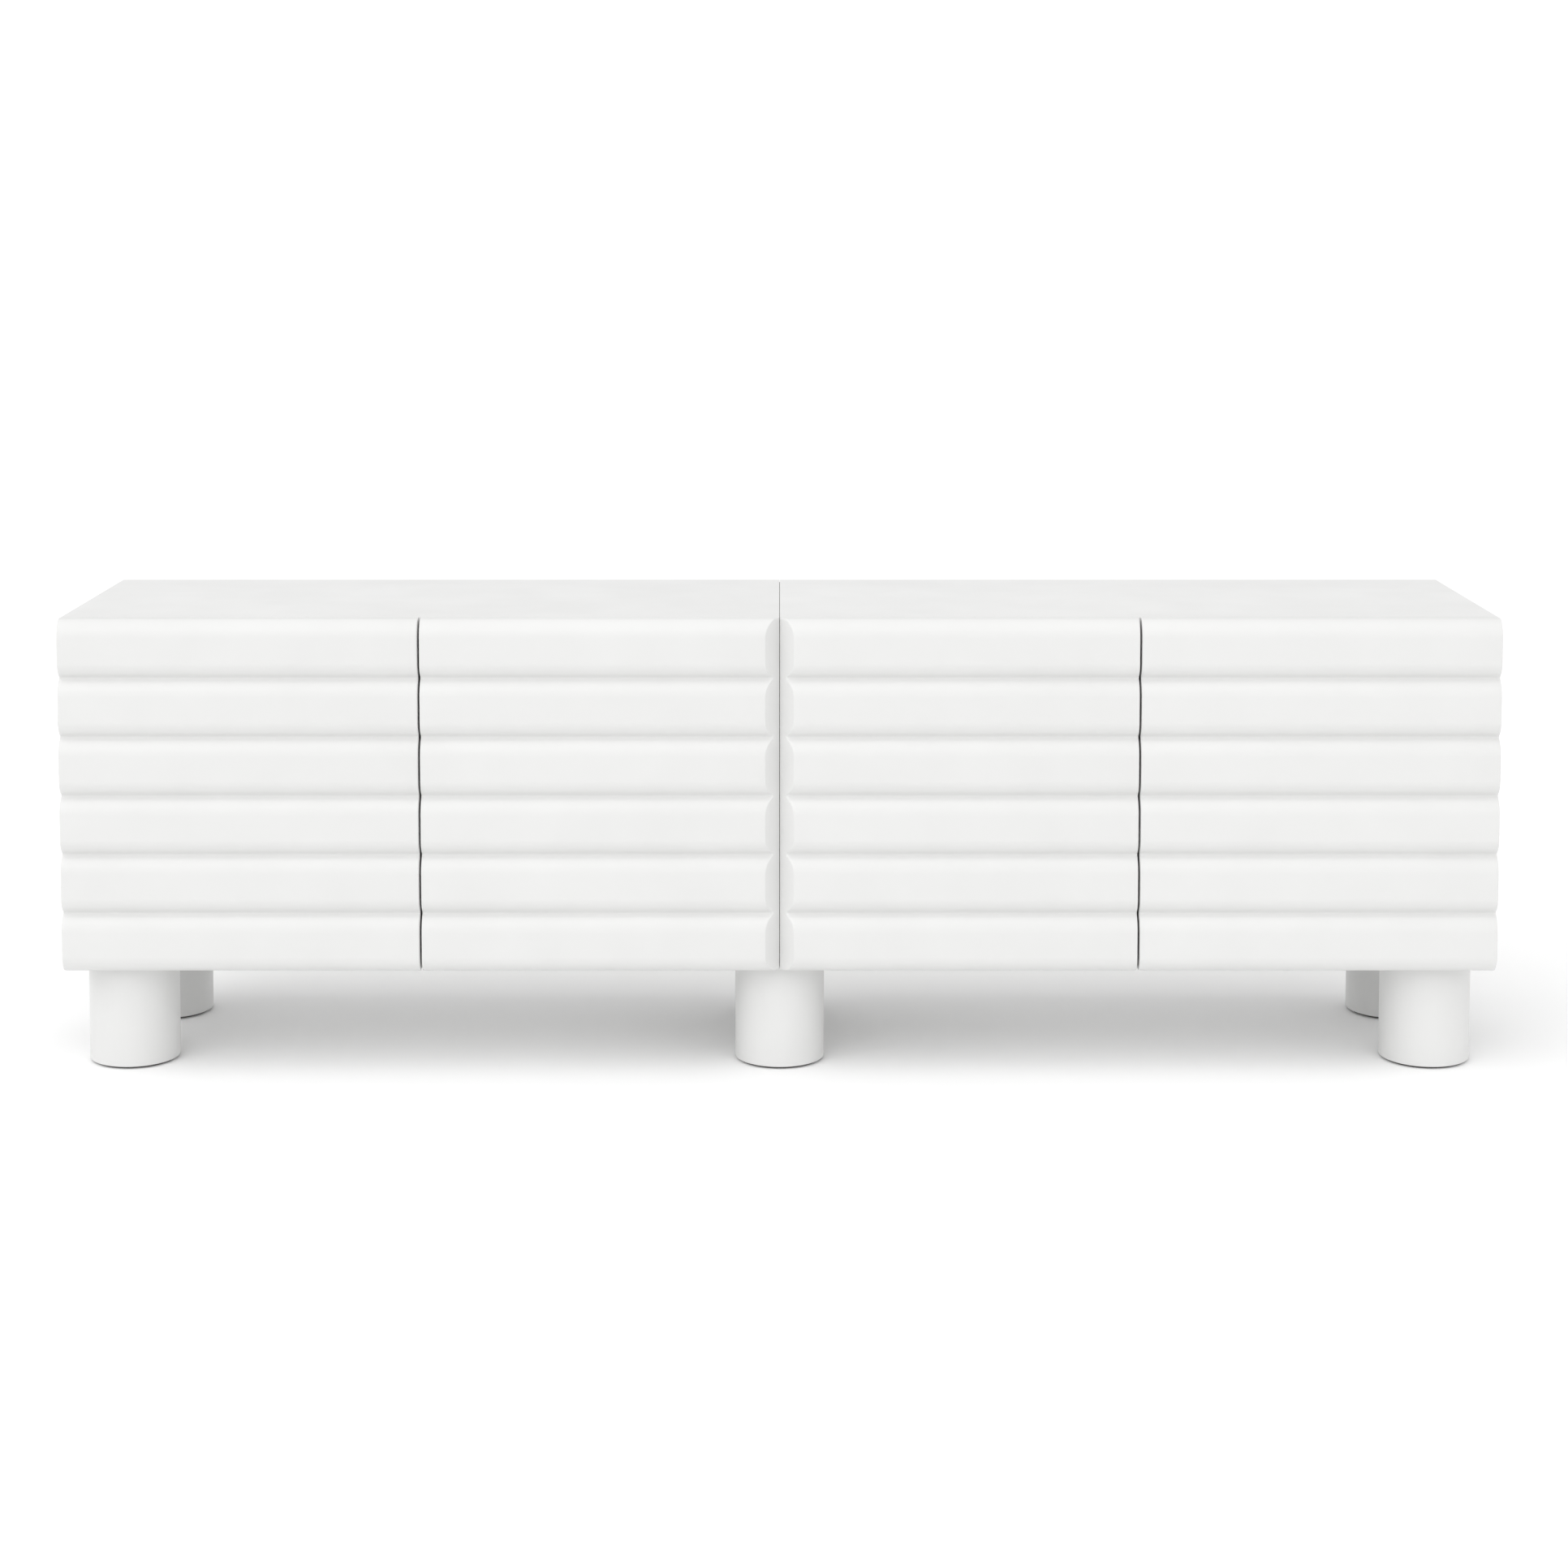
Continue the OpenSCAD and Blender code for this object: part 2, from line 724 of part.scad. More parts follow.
module latch_plunger(k) {
  color(inner_white) at_door(k)
    rod_v([door_w - latch_inset, plunger_v, latch_z], plunger_d, plunger_l);
}

module strike_plate(k) {
  color(steel) at_door(k) rod_v([door_w - latch_inset, door_t, latch_z], strike_d, strike_t);
}

// ---------- drawing ----------

for (s = SIDES) {
  top_panel(s);
  bottom_panel(s);
  outer_side(s);
  inner_side(s);
  back_panel(s);
  shelf(s);
  cable_grommet(s);
}
for (i = [0:5])
  leg_node(i);
for (k = [0:3]) {
  door(k);
  hinge_cups(k);
  hinge_cup_pins(k);
  hinge_links(k);
  strike_plate(k);
  latch_plunger(k);
}
leg_glides();
leg_plates();
leg_bolts();
leg_plate_screws();
hinge_plates();
hinge_arms();
hinge_arm_pins();
hinge_screws();
latch_housings();
latch_screws();
shelf_pins();
cabinet_connectors();
panel_dowels();
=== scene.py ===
"""Looks of a low white media cabinet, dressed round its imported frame.

Two cabinets stand side by side on six turned legs. Four doors with horizontal ribs hang on
concealed hinges and open with push latches. Everything outside is satin lacquered, the insides
are melamine, and the fittings are plated steel and moulded plastic.
"""

import json
import logging
import math
from collections.abc import Callable
from dataclasses import dataclass, field
from enum import Enum
from typing import Any

import bmesh
import bpy
from mathutils import Matrix, Vector
from mathutils.geometry import intersect_sphere_sphere_2d

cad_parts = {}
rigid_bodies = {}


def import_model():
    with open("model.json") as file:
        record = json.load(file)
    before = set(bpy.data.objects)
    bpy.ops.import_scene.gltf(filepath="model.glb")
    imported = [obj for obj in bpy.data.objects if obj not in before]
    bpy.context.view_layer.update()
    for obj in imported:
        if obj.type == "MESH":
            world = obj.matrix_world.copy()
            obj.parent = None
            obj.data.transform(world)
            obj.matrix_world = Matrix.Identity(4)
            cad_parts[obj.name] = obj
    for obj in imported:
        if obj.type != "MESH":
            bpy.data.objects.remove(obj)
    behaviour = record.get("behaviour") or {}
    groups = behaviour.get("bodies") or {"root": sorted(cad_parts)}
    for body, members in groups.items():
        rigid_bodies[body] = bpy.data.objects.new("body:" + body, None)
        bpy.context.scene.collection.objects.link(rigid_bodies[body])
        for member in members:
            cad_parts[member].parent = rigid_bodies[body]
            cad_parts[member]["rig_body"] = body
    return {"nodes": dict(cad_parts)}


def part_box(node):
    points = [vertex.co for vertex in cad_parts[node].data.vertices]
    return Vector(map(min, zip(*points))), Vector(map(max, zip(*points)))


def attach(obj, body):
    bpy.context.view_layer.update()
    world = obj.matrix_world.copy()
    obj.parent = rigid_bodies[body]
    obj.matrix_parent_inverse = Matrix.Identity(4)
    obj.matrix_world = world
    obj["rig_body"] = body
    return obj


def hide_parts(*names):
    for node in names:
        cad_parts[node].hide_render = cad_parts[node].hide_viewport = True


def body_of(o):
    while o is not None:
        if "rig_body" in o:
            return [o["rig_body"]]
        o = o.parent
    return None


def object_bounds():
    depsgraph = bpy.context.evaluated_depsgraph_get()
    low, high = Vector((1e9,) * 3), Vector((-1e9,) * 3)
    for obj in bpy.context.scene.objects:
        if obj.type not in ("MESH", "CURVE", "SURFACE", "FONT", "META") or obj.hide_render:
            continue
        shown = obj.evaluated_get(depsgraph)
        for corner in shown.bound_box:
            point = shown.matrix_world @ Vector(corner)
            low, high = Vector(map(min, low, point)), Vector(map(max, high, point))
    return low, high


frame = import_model()
CAD_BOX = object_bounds()

MM = 0.001
LOG = logging.getLogger("media_cabinet")

# Edges that bend less than this are shaded smooth.
SMOOTH_BELOW = math.radians(35)
# Edges that stand out more than these are eased, on a fitting and on a flat panel.
SHARP_FROM = math.radians(60)
SQUARE_FROM = math.radians(80)
# Points nearer than this are one, faces flatter than this are one, and a place is met within this.
WELD = 0.001 * MM
FLAT_WITHIN = math.radians(0.5)
TOUCH = 0.01 * MM
# Radius of a turned corner that is left keen.
KEEN = 0.01 * MM
# The part of a noise's values that most of its spots lie in.
NOISE_MIDDLE = (0.3, 0.7)


class Slot(Enum):
    """Material slots of the record."""

    LACQUER = "satin_lacquer"
    MELAMINE = "white_melamine"
    NICKEL = "nickel_steel"
    ZINC = "zinc_steel"
    DARK_STEEL = "dark_steel"
    GREY_PLASTIC = "grey_plastic"
    WHITE_PLASTIC = "white_plastic"
    FELT = "grey_felt"
    BEECH = "beech_dowel"


class HingeSide(Enum):
    """The end of a door that its hinges are on, as the way from there to its free end."""

    LEFT = 1
    RIGHT = -1


# ---------- colour and nodes ----------


def linear(hex_colour: str) -> tuple[float, float, float, float]:
    """Turn an sRGB colour into the linear one that a shader takes.

    Args:
        hex_colour: Six hex digits with a leading #.

    Returns:
        Red, green, blue and an alpha of 1.
    """
    parts = [int(hex_colour[i : i + 2], 16) / 255 for i in (1, 3, 5)]
    red, green, blue = (c / 12.92 if c <= 0.04045 else ((c + 0.055) / 1.055) ** 2.4 for c in parts)
    return red, green, blue, 1.0


def add_node(
    tree: bpy.types.NodeTree, kind: str, settings: dict[str, Any] | None = None, **inputs: Any
) -> bpy.types.Node:
    """Add a node with its settings, its sockets' values and its links.

    Args:
        tree: The node tree that it goes in.
        kind: The node's type.
        settings: Properties of the node.
        **inputs: A value or another node's output for each socket, with _ for a blank.

    Returns:
        The new node.
    """
    node = tree.nodes.new(kind)
    for name, value in (settings or {}).items():
        setattr(node, name, value)
    for name, value in inputs.items():
        socket = node.inputs[name.replace("_", " ")]
        if isinstance(value, bpy.types.NodeSocket):
            tree.links.new(value, socket)
        else:
            socket.default_value = value
    return node


# ---------- finishes ----------


@dataclass(frozen=True)
class Finish:
    """A finish: its name, its slot, its two nearby colours, how rough it is and how that varies."""

    name: str
    slot: Slot
    colour: str
    shade: str
    roughness: float
    roughness_swing: float = 0.0

    def material(self) -> bpy.types.Material:
        """Make the material, or find it if it is made already.

        Returns:
            The material.
        """
        material = bpy.data.materials.get(self.name)
        if material is None:
            material = bpy.data.materials.new(self.name)
            material.use_nodes = True
            tree = material.node_tree
            tree.nodes.clear()
            place = add_node(tree, "ShaderNodeTexCoord").outputs["Object"]
            shader = self.surface(tree, place)
            add_node(tree, "ShaderNodeOutputMaterial", Surface=shader.outputs["BSDF"])
        return material

    def surface(self, tree: bpy.types.NodeTree, place: bpy.types.NodeSocket) -> bpy.types.Node:
        """Add the nodes of the surface; each finish has its own.

        Args:
            tree: The material's nodes.
            place: The point on the surface, in metres.

        Returns:
            The shader node.
        """
        raise NotImplementedError

    def noise(
        self, tree: bpy.types.NodeTree, place: bpy.types.NodeSocket, size_mm: float, detail: float = 2.0
    ) -> bpy.types.NodeSocket:
        """Add noise with spots of a real size.

        Args:
            tree: The material's nodes.
            place: The point on the surface, in metres.
            size_mm: Width of a spot.
            detail: How many finer layers lie over it.

        Returns:
            The noise's value.
        """
        scale = 1 / (size_mm * MM)
        node = add_node(tree, "ShaderNodeTexNoise", Vector=place, Scale=scale, Detail=detail)
        return node.outputs["Fac"]

    def mottled(self, tree: bpy.types.NodeTree, noise: bpy.types.NodeSocket) -> bpy.types.NodeSocket:
        """Mix the finish's two colours by a noise.

        Args:
            tree: The material's nodes.
            noise: The noise, whose low spots take the colour and whose high spots take the shade.

        Returns:
            The mixed colour.
        """
        amount = self.spread(tree, noise, 0.0, 1.0)
        colours = {"Color1": linear(self.colour), "Color2": linear(self.shade)}
        return add_node(tree, "ShaderNodeMixRGB", Fac=amount, **colours).outputs["Color"]

    def uneven(self, tree: bpy.types.NodeTree, noise: bpy.types.NodeSocket) -> bpy.types.NodeSocket:
        """Vary the roughness by a noise.

        Args:
            tree: The material's nodes.
            noise: The noise.

        Returns:
            The roughness.
        """
        low, high = self.roughness - self.roughness_swing, self.roughness + self.roughness_swing
        return self.spread(tree, noise, low, high)

    def spread(
        self, tree: bpy.types.NodeTree, value: bpy.types.NodeSocket, low: float, high: float
    ) -> bpy.types.NodeSocket:
        """Spread the middle of a noise over a range.

        Args:
            tree: The material's nodes.
            value: The noise.
            low: What its low spots become.
            high: What its high spots become.

        Returns:
            The spread value.
        """
        ends = {"From_Min": NOISE_MIDDLE[0], "From_Max": NOISE_MIDDLE[1], "To_Min": low, "To_Max": high}
        return add_node(tree, "ShaderNodeMapRange", Value=value, **ends).outputs["Result"]

    def relief(
        self, tree: bpy.types.NodeTree, height: bpy.types.NodeSocket, depth_mm: float
    ) -> bpy.types.NodeSocket:
        """Turn a height into a bump of a real depth.

        Args:
            tree: The material's nodes.
            height: The height, 0 to 1.
            depth_mm: Depth from 0 to 1.

        Returns:
            The bumped normal.
        """
        return add_node(tree, "ShaderNodeBump", Height=height, Distance=depth_mm * MM).outputs["Normal"]


@dataclass(frozen=True)
class SatinLacquer(Finish):
    """White polyurethane lacquer sprayed on MDF: a soft sheen over a faint orange peel."""

    roughness_swing: float = 0.03
    peel_mm: float = 2.2
    peel_depth_mm: float = 0.006
    coat_mm: float = 90.0

    def surface(self, tree: bpy.types.NodeTree, place: bpy.types.NodeSocket) -> bpy.types.Node:
        """Add the peel, the sheen's slow change and the slight unevenness of the white.

        Args:
            tree: The material's nodes.
            place: The point on the surface, in metres.

        Returns:
            The shader node.
        """
        coat = self.noise(tree, place, self.coat_mm)
        peel = self.noise(tree, place, self.peel_mm)
        return add_node(
            tree,
            "ShaderNodeBsdfPrincipled",
            Base_Color=self.mottled(tree, coat),
            Roughness=self.uneven(tree, coat),
            IOR=1.5,
            Normal=self.relief(tree, peel, self.peel_depth_mm),
        )


@dataclass(frozen=True)
class PearlMelamine(Finish):
    """White melamine paper pressed on chipboard: matt, with a fine pearl embossing."""

    roughness_swing: float = 0.05
    pearl_mm: float = 0.9
    pearl_depth_mm: float = 0.03

    def surface(self, tree: bpy.types.NodeTree, place: bpy.types.NodeSocket) -> bpy.types.Node:
        """Add the embossing, which is drawn twice as coarse as it is so that it shows.

        Args:
            tree: The material's nodes.
            place: The point on the surface, in metres.

        Returns:
            The shader node.
        """
        pearl = self.noise(tree, place, self.pearl_mm, detail=1.0)
        return add_node(
            tree,
            "ShaderNodeBsdfPrincipled",
            Base_Color=self.mottled(tree, pearl),
            Roughness=self.uneven(tree, pearl),
            IOR=1.5,
            Normal=self.relief(tree, pearl, self.pearl_depth_mm),
        )


@dataclass(frozen=True)
class PlatedSteel(Finish):
    """Stamped steel with a thin bright plating: blurred reflections, faint rolling marks."""

    roughness_swing: float = 0.07
    cloud_mm: float = 4.0
    mark_mm: float = 0.35
    mark_length: float = 12.0
    mark_depth_mm: float = 0.004

    def surface(self, tree: bpy.types.NodeTree, place: bpy.types.NodeSocket) -> bpy.types.Node:
        """Add cloudy plating and the long marks of the rolled sheet under it.

        Args:
            tree: The material's nodes.
            place: The point on the surface, in metres.

        Returns:
            The shader node.
        """
        cloud = self.noise(tree, place, self.cloud_mm)
        drawn_out = (1.0, 1 / self.mark_length, 1.0)
        stretched = add_node(tree, "ShaderNodeMapping", Vector=place, Scale=drawn_out)
        marks = self.noise(tree, stretched.outputs["Vector"], self.mark_mm)
        return add_node(
            tree,
            "ShaderNodeBsdfPrincipled",
            Base_Color=self.mottled(tree, cloud),
            Metallic=1.0,
            Roughness=self.uneven(tree, cloud),
            Normal=self.relief(tree, marks, self.mark_depth_mm),
        )


@dataclass(frozen=True)
class MouldedPlastic(Finish):
    """Injection moulded ABS from a spark-eroded mould: an even, dull grain."""

    roughness_swing: float = 0.06
    grain_mm: float = 0.7
    grain_depth_mm: float = 0.02

    def surface(self, tree: bpy.types.NodeTree, place: bpy.types.NodeSocket) -> bpy.types.Node:
        """Add the mould's grain and the plastic's slight unevenness.

        Args:
            tree: The material's nodes.
            place: The point on the surface, in metres.

        Returns:
            The shader node.
        """
        grain = self.noise(tree, place, self.grain_mm, detail=3.0)
        return add_node(
            tree,
            "ShaderNodeBsdfPrincipled",
            Base_Color=self.mottled(tree, grain),
            Roughness=self.uneven(tree, grain),
            IOR=1.53,
            Normal=self.relief(tree, grain, self.grain_depth_mm),
        )


@dataclass(frozen=True)
class NeedleFelt(Finish):
    """Needled wool felt: matt, with light and dark fibres tangled all ways."""

    fibre_mm: float = 0.6
    tuft_mm: float = 3.0
    fibre_depth_mm: float = 0.25
    fuzz: float = 0.35

    def surface(self, tree: bpy.types.NodeTree, place: bpy.types.NodeSocket) -> bpy.types.Node:
        """Add the fibres' mixed greys and their loose relief.

        Args:
            tree: The material's nodes.
            place: The point on the surface, in metres.

        Returns:
            The shader node.
        """
        fibres = self.noise(tree, place, self.fibre_mm, detail=6.0)
        tufts = self.noise(tree, place, self.tuft_mm)
        matted = add_node(tree, "ShaderNodeMath", {"operation": "MULTIPLY"})
        tree.links.new(fibres, matted.inputs[0])
        tree.links.new(tufts, matted.inputs[1])
        return add_node(
            tree,
            "ShaderNodeBsdfPrincipled",
            Base_Color=self.mottled(tree, fibres),
            Roughness=self.roughness,
            Sheen_Weight=self.fuzz,
            Normal=self.relief(tree, matted.outputs["Value"], self.fibre_depth_mm),
        )


@dataclass(frozen=True)
class BeechWood(Finish):
    """Turned beech, unfinished: pale pink-brown, with short dark flecks along the grain."""

    ring_mm: float = 2.5
    fleck_mm: float = 0.5
    fleck_depth_mm: float = 0.05
    grain_length: float = 14.0

    def surface(self, tree: bpy.types.NodeTree, place: bpy.types.NodeSocket) -> bpy.types.Node:
        """Add the growth lines and the flecks, both drawn out along the dowel.

        Args:
            tree: The material's nodes.
            place: The point on the surface, in metres.

        Returns:
            The shader node.
        """
        drawn_out = (1.0, 1.0, 1 / self.grain_length)
        stretched = add_node(tree, "ShaderNodeMapping", Vector=place, Scale=drawn_out)
        rings = self.noise(tree, stretched.outputs["Vector"], self.ring_mm)
        flecks = self.noise(tree, stretched.outputs["Vector"], self.fleck_mm)
        return add_node(
            tree,
            "ShaderNodeBsdfPrincipled",
            Base_Color=self.mottled(tree, rings),
            Roughness=self.roughness,
            IOR=1.5,
            Normal=self.relief(tree, flecks, self.fleck_depth_mm),
        )


LACQUER = SatinLacquer("satin_white_lacquer", Slot.LACQUER, "#DDDDDC", "#DBDBDA", 0.4)
MELAMINE = PearlMelamine("pearl_white_melamine", Slot.MELAMINE, "#E4E4E0", "#E0E0DC", 0.55)
NICKEL = PlatedSteel("nickel_plated_steel", Slot.NICKEL, "#CFCCC6", "#BDBAB4", 0.27)
ZINC = PlatedSteel("zinc_plated_steel", Slot.ZINC, "#BFC3C8", "#A9ADB3", 0.38)
DARK_STEEL = PlatedSteel("blackened_steel", Slot.DARK_STEEL, "#7C7D80", "#68696C", 0.36)
GREY_ABS = MouldedPlastic("grey_moulded_abs", Slot.GREY_PLASTIC, "#A6A8AA", "#9D9FA1", 0.46)
WHITE_ABS = MouldedPlastic("white_moulded_abs", Slot.WHITE_PLASTIC, "#E6E6E2", "#DEDEDA", 0.42)
FELT = NeedleFelt("grey_needle_felt", Slot.FELT, "#6E6D6B", "#3F3E3D", 0.95)
BEECH = BeechWood("turned_beech", Slot.BEECH, "#D9B68A", "#B98F62", 0.6)


# ---------- meshes ----------


def rounded_outline(corners: list[tuple[Vector, float]], steps: int) -> list[Vector]:
    """Replace each corner of an open flat outline by an arc.

    Args:
        corners: Points with their radii; the first and the last only give directions.
        steps: Straight pieces in each arc.

    Returns:
        The points of all arcs in order.
    """
    outline = []
    for (before, _), (corner, radius), (after, _) in zip(corners, corners[1:], corners[2:]):
        back, ahead = (before - corner).normalized(), (after - corner).normalized()
        turn = math.pi - back.angle(ahead)
        left = back.x * ahead.y - back.y * ahead.x < 0
        centre = corner + (back + ahead).normalized() * radius / math.cos(turn / 2)
        spoke = corner + back * radius * math.tan(turn / 2) - centre
        for step in range(steps + 1):
            angle = turn * step / steps
            outline.append(centre + Matrix.Rotation(angle if left else -angle, 2) @ spoke)
    return outline


def loft(
    bm: bmesh.types.BMesh, rings: list[list[Vector]], closed: bool
) -> list[list[bmesh.types.BMVert]]:
    """Join rings of equally many points by four-sided faces.

    Args:
        bm: The mesh.
        rings: The rings in order.
        closed: Whether the last point of each ring joins the first.

    Returns:
        The vertices of each ring.
    """
    rows = [[bm.verts.new(point) for point in ring] for ring in rings]
    for low, high in zip(rows, rows[1:]):
        for i in range(len(low) if closed else len(low) - 1):
            j = (i + 1) % len(low)
            bm.faces.new((low[i], low[j], high[j], high[i]))
    return rows


def spin(
    bm: bmesh.types.BMesh, profile: list[tuple[float, float]], place: Matrix, sides: int
) -> list[list[bmesh.types.BMVert]]:
    """Turn a profile about an axis, with both ends left open.

    Args:
        bm: The mesh.
        profile: Radius and height of each point, in order.
        place: Where the axis stands; the profile's heights run along its Z.
        sides: Points round the axis.

    Returns:
        The vertices of each ring.
    """
    angles = [math.tau * i / sides for i in range(sides)]
    spokes = [(math.cos(angle), math.sin(angle)) for angle in angles]
    rings = [[place @ Vector((r * x, r * y, h)) for x, y in spokes] for r, h in profile]
    return loft(bm, rings, closed=True)


def lathe(
    bm: bmesh.types.BMesh, profile: list[tuple[float, float]], place: Matrix, sides: int
) -> None:
    """Turn a profile about an axis and close both ends.

    Args:
        bm: The mesh.
        profile: Radius and height of each point, in order.
        place: Where the axis stands.
        sides: Points round the axis.
    """
    rows = spin(bm, profile, place, sides)
    bm.faces.new(rows[0][::-1])
    bm.faces.new(rows[-1])


def eased_profile(
    points: list[tuple[float, float]], radii: list[float], steps: int
) -> list[tuple[float, float]]:
    """Round the inner corners of a lathe profile.

    Args:
        points: Radius and height of each point; the ends stay as they are.
        radii: One radius for each point between the ends.
        steps: Straight pieces in each arc.

    Returns:
        The rounded profile.
    """
    corners = [(Vector(point), radius) for point, radius in zip(points, [0.0, *radii, 0.0])]
    rounded = rounded_outline(corners, steps)
    return [points[0], *[(p.x, p.y) for p in rounded], points[-1]]


@dataclass
class Pocket:
    """A blind hole in a flat face: its outline on the face and its depth."""

    outline: list[Vector]
    depth: float


def fill_with_pockets(
    bm: bmesh.types.BMesh, rim: list[bmesh.types.BMEdge], pockets: list[Pocket], inward: Vector
) -> None:
    """Fill a flat rim with a face that has blind holes in it.

    Args:
        bm: The mesh.
        rim: The edges round the face.
        pockets: The holes.
        inward: The way that the holes go, of length 1.
    """
    edges = list(rim)
    for pocket in pockets:
        floor = [point + inward * pocket.depth for point in pocket.outline]
        rows = loft(bm, [pocket.outline, floor], closed=True)
        bm.faces.new(rows[1])
        edges += [bm.edges.get((a, b)) for a, b in zip(rows[0], rows[0][1:] + rows[0][:1])]
    bmesh.ops.triangle_fill(bm, use_beauty=True, edges=edges)


def upright_circle(centre: Vector, radius: float, sides: int) -> list[Vector]:
    """Points of a circle that faces the front."""
    angles = [math.tau * i / sides for i in range(sides)]
    return [centre + radius * Vector((math.cos(a), 0, math.sin(a))) for a in angles]


def loose_boxes(node: str) -> list[tuple[Vector, Vector]]:
    """Boxes of the loose parts of a CAD node, such as the single screws in a set.

    Args:
        node: The node's name.

    Returns:
        Lowest and highest corner of each part.
    """
    bm = cad_mesh(node)
    left = set(bm.verts)
    boxes = []
    while left:
        part, edge = set(), {next(iter(left))}
        while edge:
            part |= edge
            edge = {link.other_vert(vert) for vert in edge for link in vert.link_edges} - part
        left -= part
        places = [vert.co.copy() for vert in part]
        low = Vector(min(place[i] for place in places) for i in range(3))
        high = Vector(max(place[i] for place in places) for i in range(3))
        boxes.append((low, high))
    bm.free()
    return sorted(boxes, key=lambda box: tuple(box[0]))


class Drive(Enum):
    """Shape of a driver's recess, as how many times its outline goes out and in again."""

    CROSS = 4
    HEXAGON = 3


@dataclass(frozen=True)
class Screw:
    """A pan-head screw, or a sleeve bolt with a head at each end, with a driver's recess."""

    head_radius: float
    head_height: float
    shank_radius: float
    drive: Drive
    drive_outer: float
    drive_inner: float
    drive_depth: float
    both_ends: bool = False
    sides: int = 48
    # Share of the head's height that its crown takes, and how far the crown and the tip taper.
    crowned: float = 0.3
    taper: float = 0.3

    def profile(self, length: float) -> list[tuple[float, float]]:
        """Radius and height of each corner, from the head's face to the end.

        Args:
            length: Length of the whole screw.

        Returns:
            The profile.
        """
        crown = self.head_height * self.crowned
        head = [
            (self.head_radius - crown, 0.0),
            (self.head_radius - crown * self.taper, crown * self.taper),
            (self.head_radius, crown),
            (self.head_radius, self.head_height),
            (self.shank_radius, self.head_height),
        ]
        if self.both_ends:
            return [*head, *[(radius, length - height) for radius, height in reversed(head)]]
        tip = [(self.shank_radius, length - self.shank_radius), (self.shank_radius * self.taper, length)]
        return [*head, *tip]

    def recess(
        self, bm: bmesh.types.BMesh, face: list[bmesh.types.BMVert], centre: Vector, inward: Vector
    ) -> None:
        """Close a head's face round the driver's recess.

        Args:
            bm: The mesh.
            face: The vertices round the face.
            centre: Middle of the face.
            inward: The way into the head, of length 1.
        """
        across = (face[0].co - centre).normalized()
        along = (face[len(face) // 4].co - centre).normalized()
        outline = []
        for i in range(2 * self.drive.value):
            radius = self.drive_inner if i % 2 else self.drive_outer
            angle = math.pi * i / self.drive.value
            outline.append(centre + radius * (math.cos(angle) * across + math.sin(angle) * along))
        rim = [bm.edges.get((a, b)) for a, b in zip(face, face[1:] + face[:1])]
        fill_with_pockets(bm, rim, [Pocket(outline, self.drive_depth)], inward)

    def stand(self, bm: bmesh.types.BMesh, foot: Vector, tip: Vector) -> None:
        """Stand one screw with its head's face at the foot and its end at the tip.

        Args:
            bm: The mesh that it is added to.
            foot: Middle of the head's face.
            tip: The far end.
        """
        way = tip - foot
        place = Matrix.Translation(foot) @ way.to_track_quat("Z", "X").to_matrix().to_4x4()
        rows = spin(bm, self.profile(way.length), place, self.sides)
        self.recess(bm, rows[0], foot, way.normalized())
        if self.both_ends:
            self.recess(bm, rows[-1], tip, -way.normalized())
        else:
            bm.faces.new(rows[-1])


def make_piece(
    name: str, bm: bmesh.types.BMesh, nodes: list[str], finish: Finish, body: str = ""
) -> bpy.types.Object:
    """Turn a mesh into a piece that stands for CAD nodes and rides on their body.

    Args:
        name: The piece's name.
        bm: Its mesh, which is used up.
        nodes: The CAD nodes that it stands for.
        finish: What it is finished in.
        body: The body that it rides on where it stands for no node.

    Returns:
        The piece.
    """
    bmesh.ops.recalc_face_normals(bm, faces=bm.faces)
    mesh = bpy.data.meshes.new(name)
    bm.to_mesh(mesh)
    bm.free()
    old_normals = mesh.attributes.get("custom_normal")
    if old_normals:
        mesh.attributes.remove(old_normals)
    mesh.shade_smooth()
    mesh.set_sharp_from_angle(angle=SMOOTH_BELOW)
    mesh.materials.clear()
    mesh.materials.append(finish.material())
    piece = bpy.data.objects.new(name, mesh)
    bpy.context.scene.collection.objects.link(piece)
    if nodes:
        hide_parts(*nodes)
    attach(piece, body or body_of(frame["nodes"][nodes[0]])[0])
    LOG.info("%s: %d faces, in %s", name, len(mesh.polygons), finish.name)
    return piece


def dress_node(node: str, finish: Finish) -> None:
    """Give a CAD node whose shape stays a finish.

    Args:
        node: The node's name.
        finish: Its finish.
    """
    piece = frame["nodes"][node]
    piece.data.materials.clear()
    piece.data.materials.append(finish.material())
    LOG.info("%s: as in the frame, in %s", node, finish.name)


def cad_mesh(node: str) -> bmesh.types.BMesh:
    """Copy a CAD node's mesh, joined up and with whole flat faces.

    Args:
        node: The node's name.

    Returns:
        The copy.
    """
    bm = bmesh.new()
    bm.from_mesh(frame["nodes"][node].data)
    bmesh.ops.remove_doubles(bm, verts=bm.verts, dist=WELD)
    bmesh.ops.dissolve_limit(bm, angle_limit=FLAT_WITHIN, verts=bm.verts, edges=bm.edges)
    return bm


def ease_edges(
    bm: bmesh.types.BMesh,
    radius_of: Callable[[bmesh.types.BMEdge], float],
    radii: list[float],
    steps: int = 3,
) -> None:
    """Round the edges of a mesh, the largest radius first.

    Args:
        bm: The mesh.
        radius_of: The radius that an edge takes, or 0.
        radii: Every radius that it may give.
        steps: Faces across each rounding.
    """
    for radius in sorted(radii, reverse=True):
        edges = [edge for edge in bm.edges if radius_of(edge) == radius]
        bmesh.ops.bevel(
            bm,
            geom=edges,
            offset=radius,
            segments=steps,
            profile=0.5,
            affect="EDGES",
            clamp_overlap=True,
        )


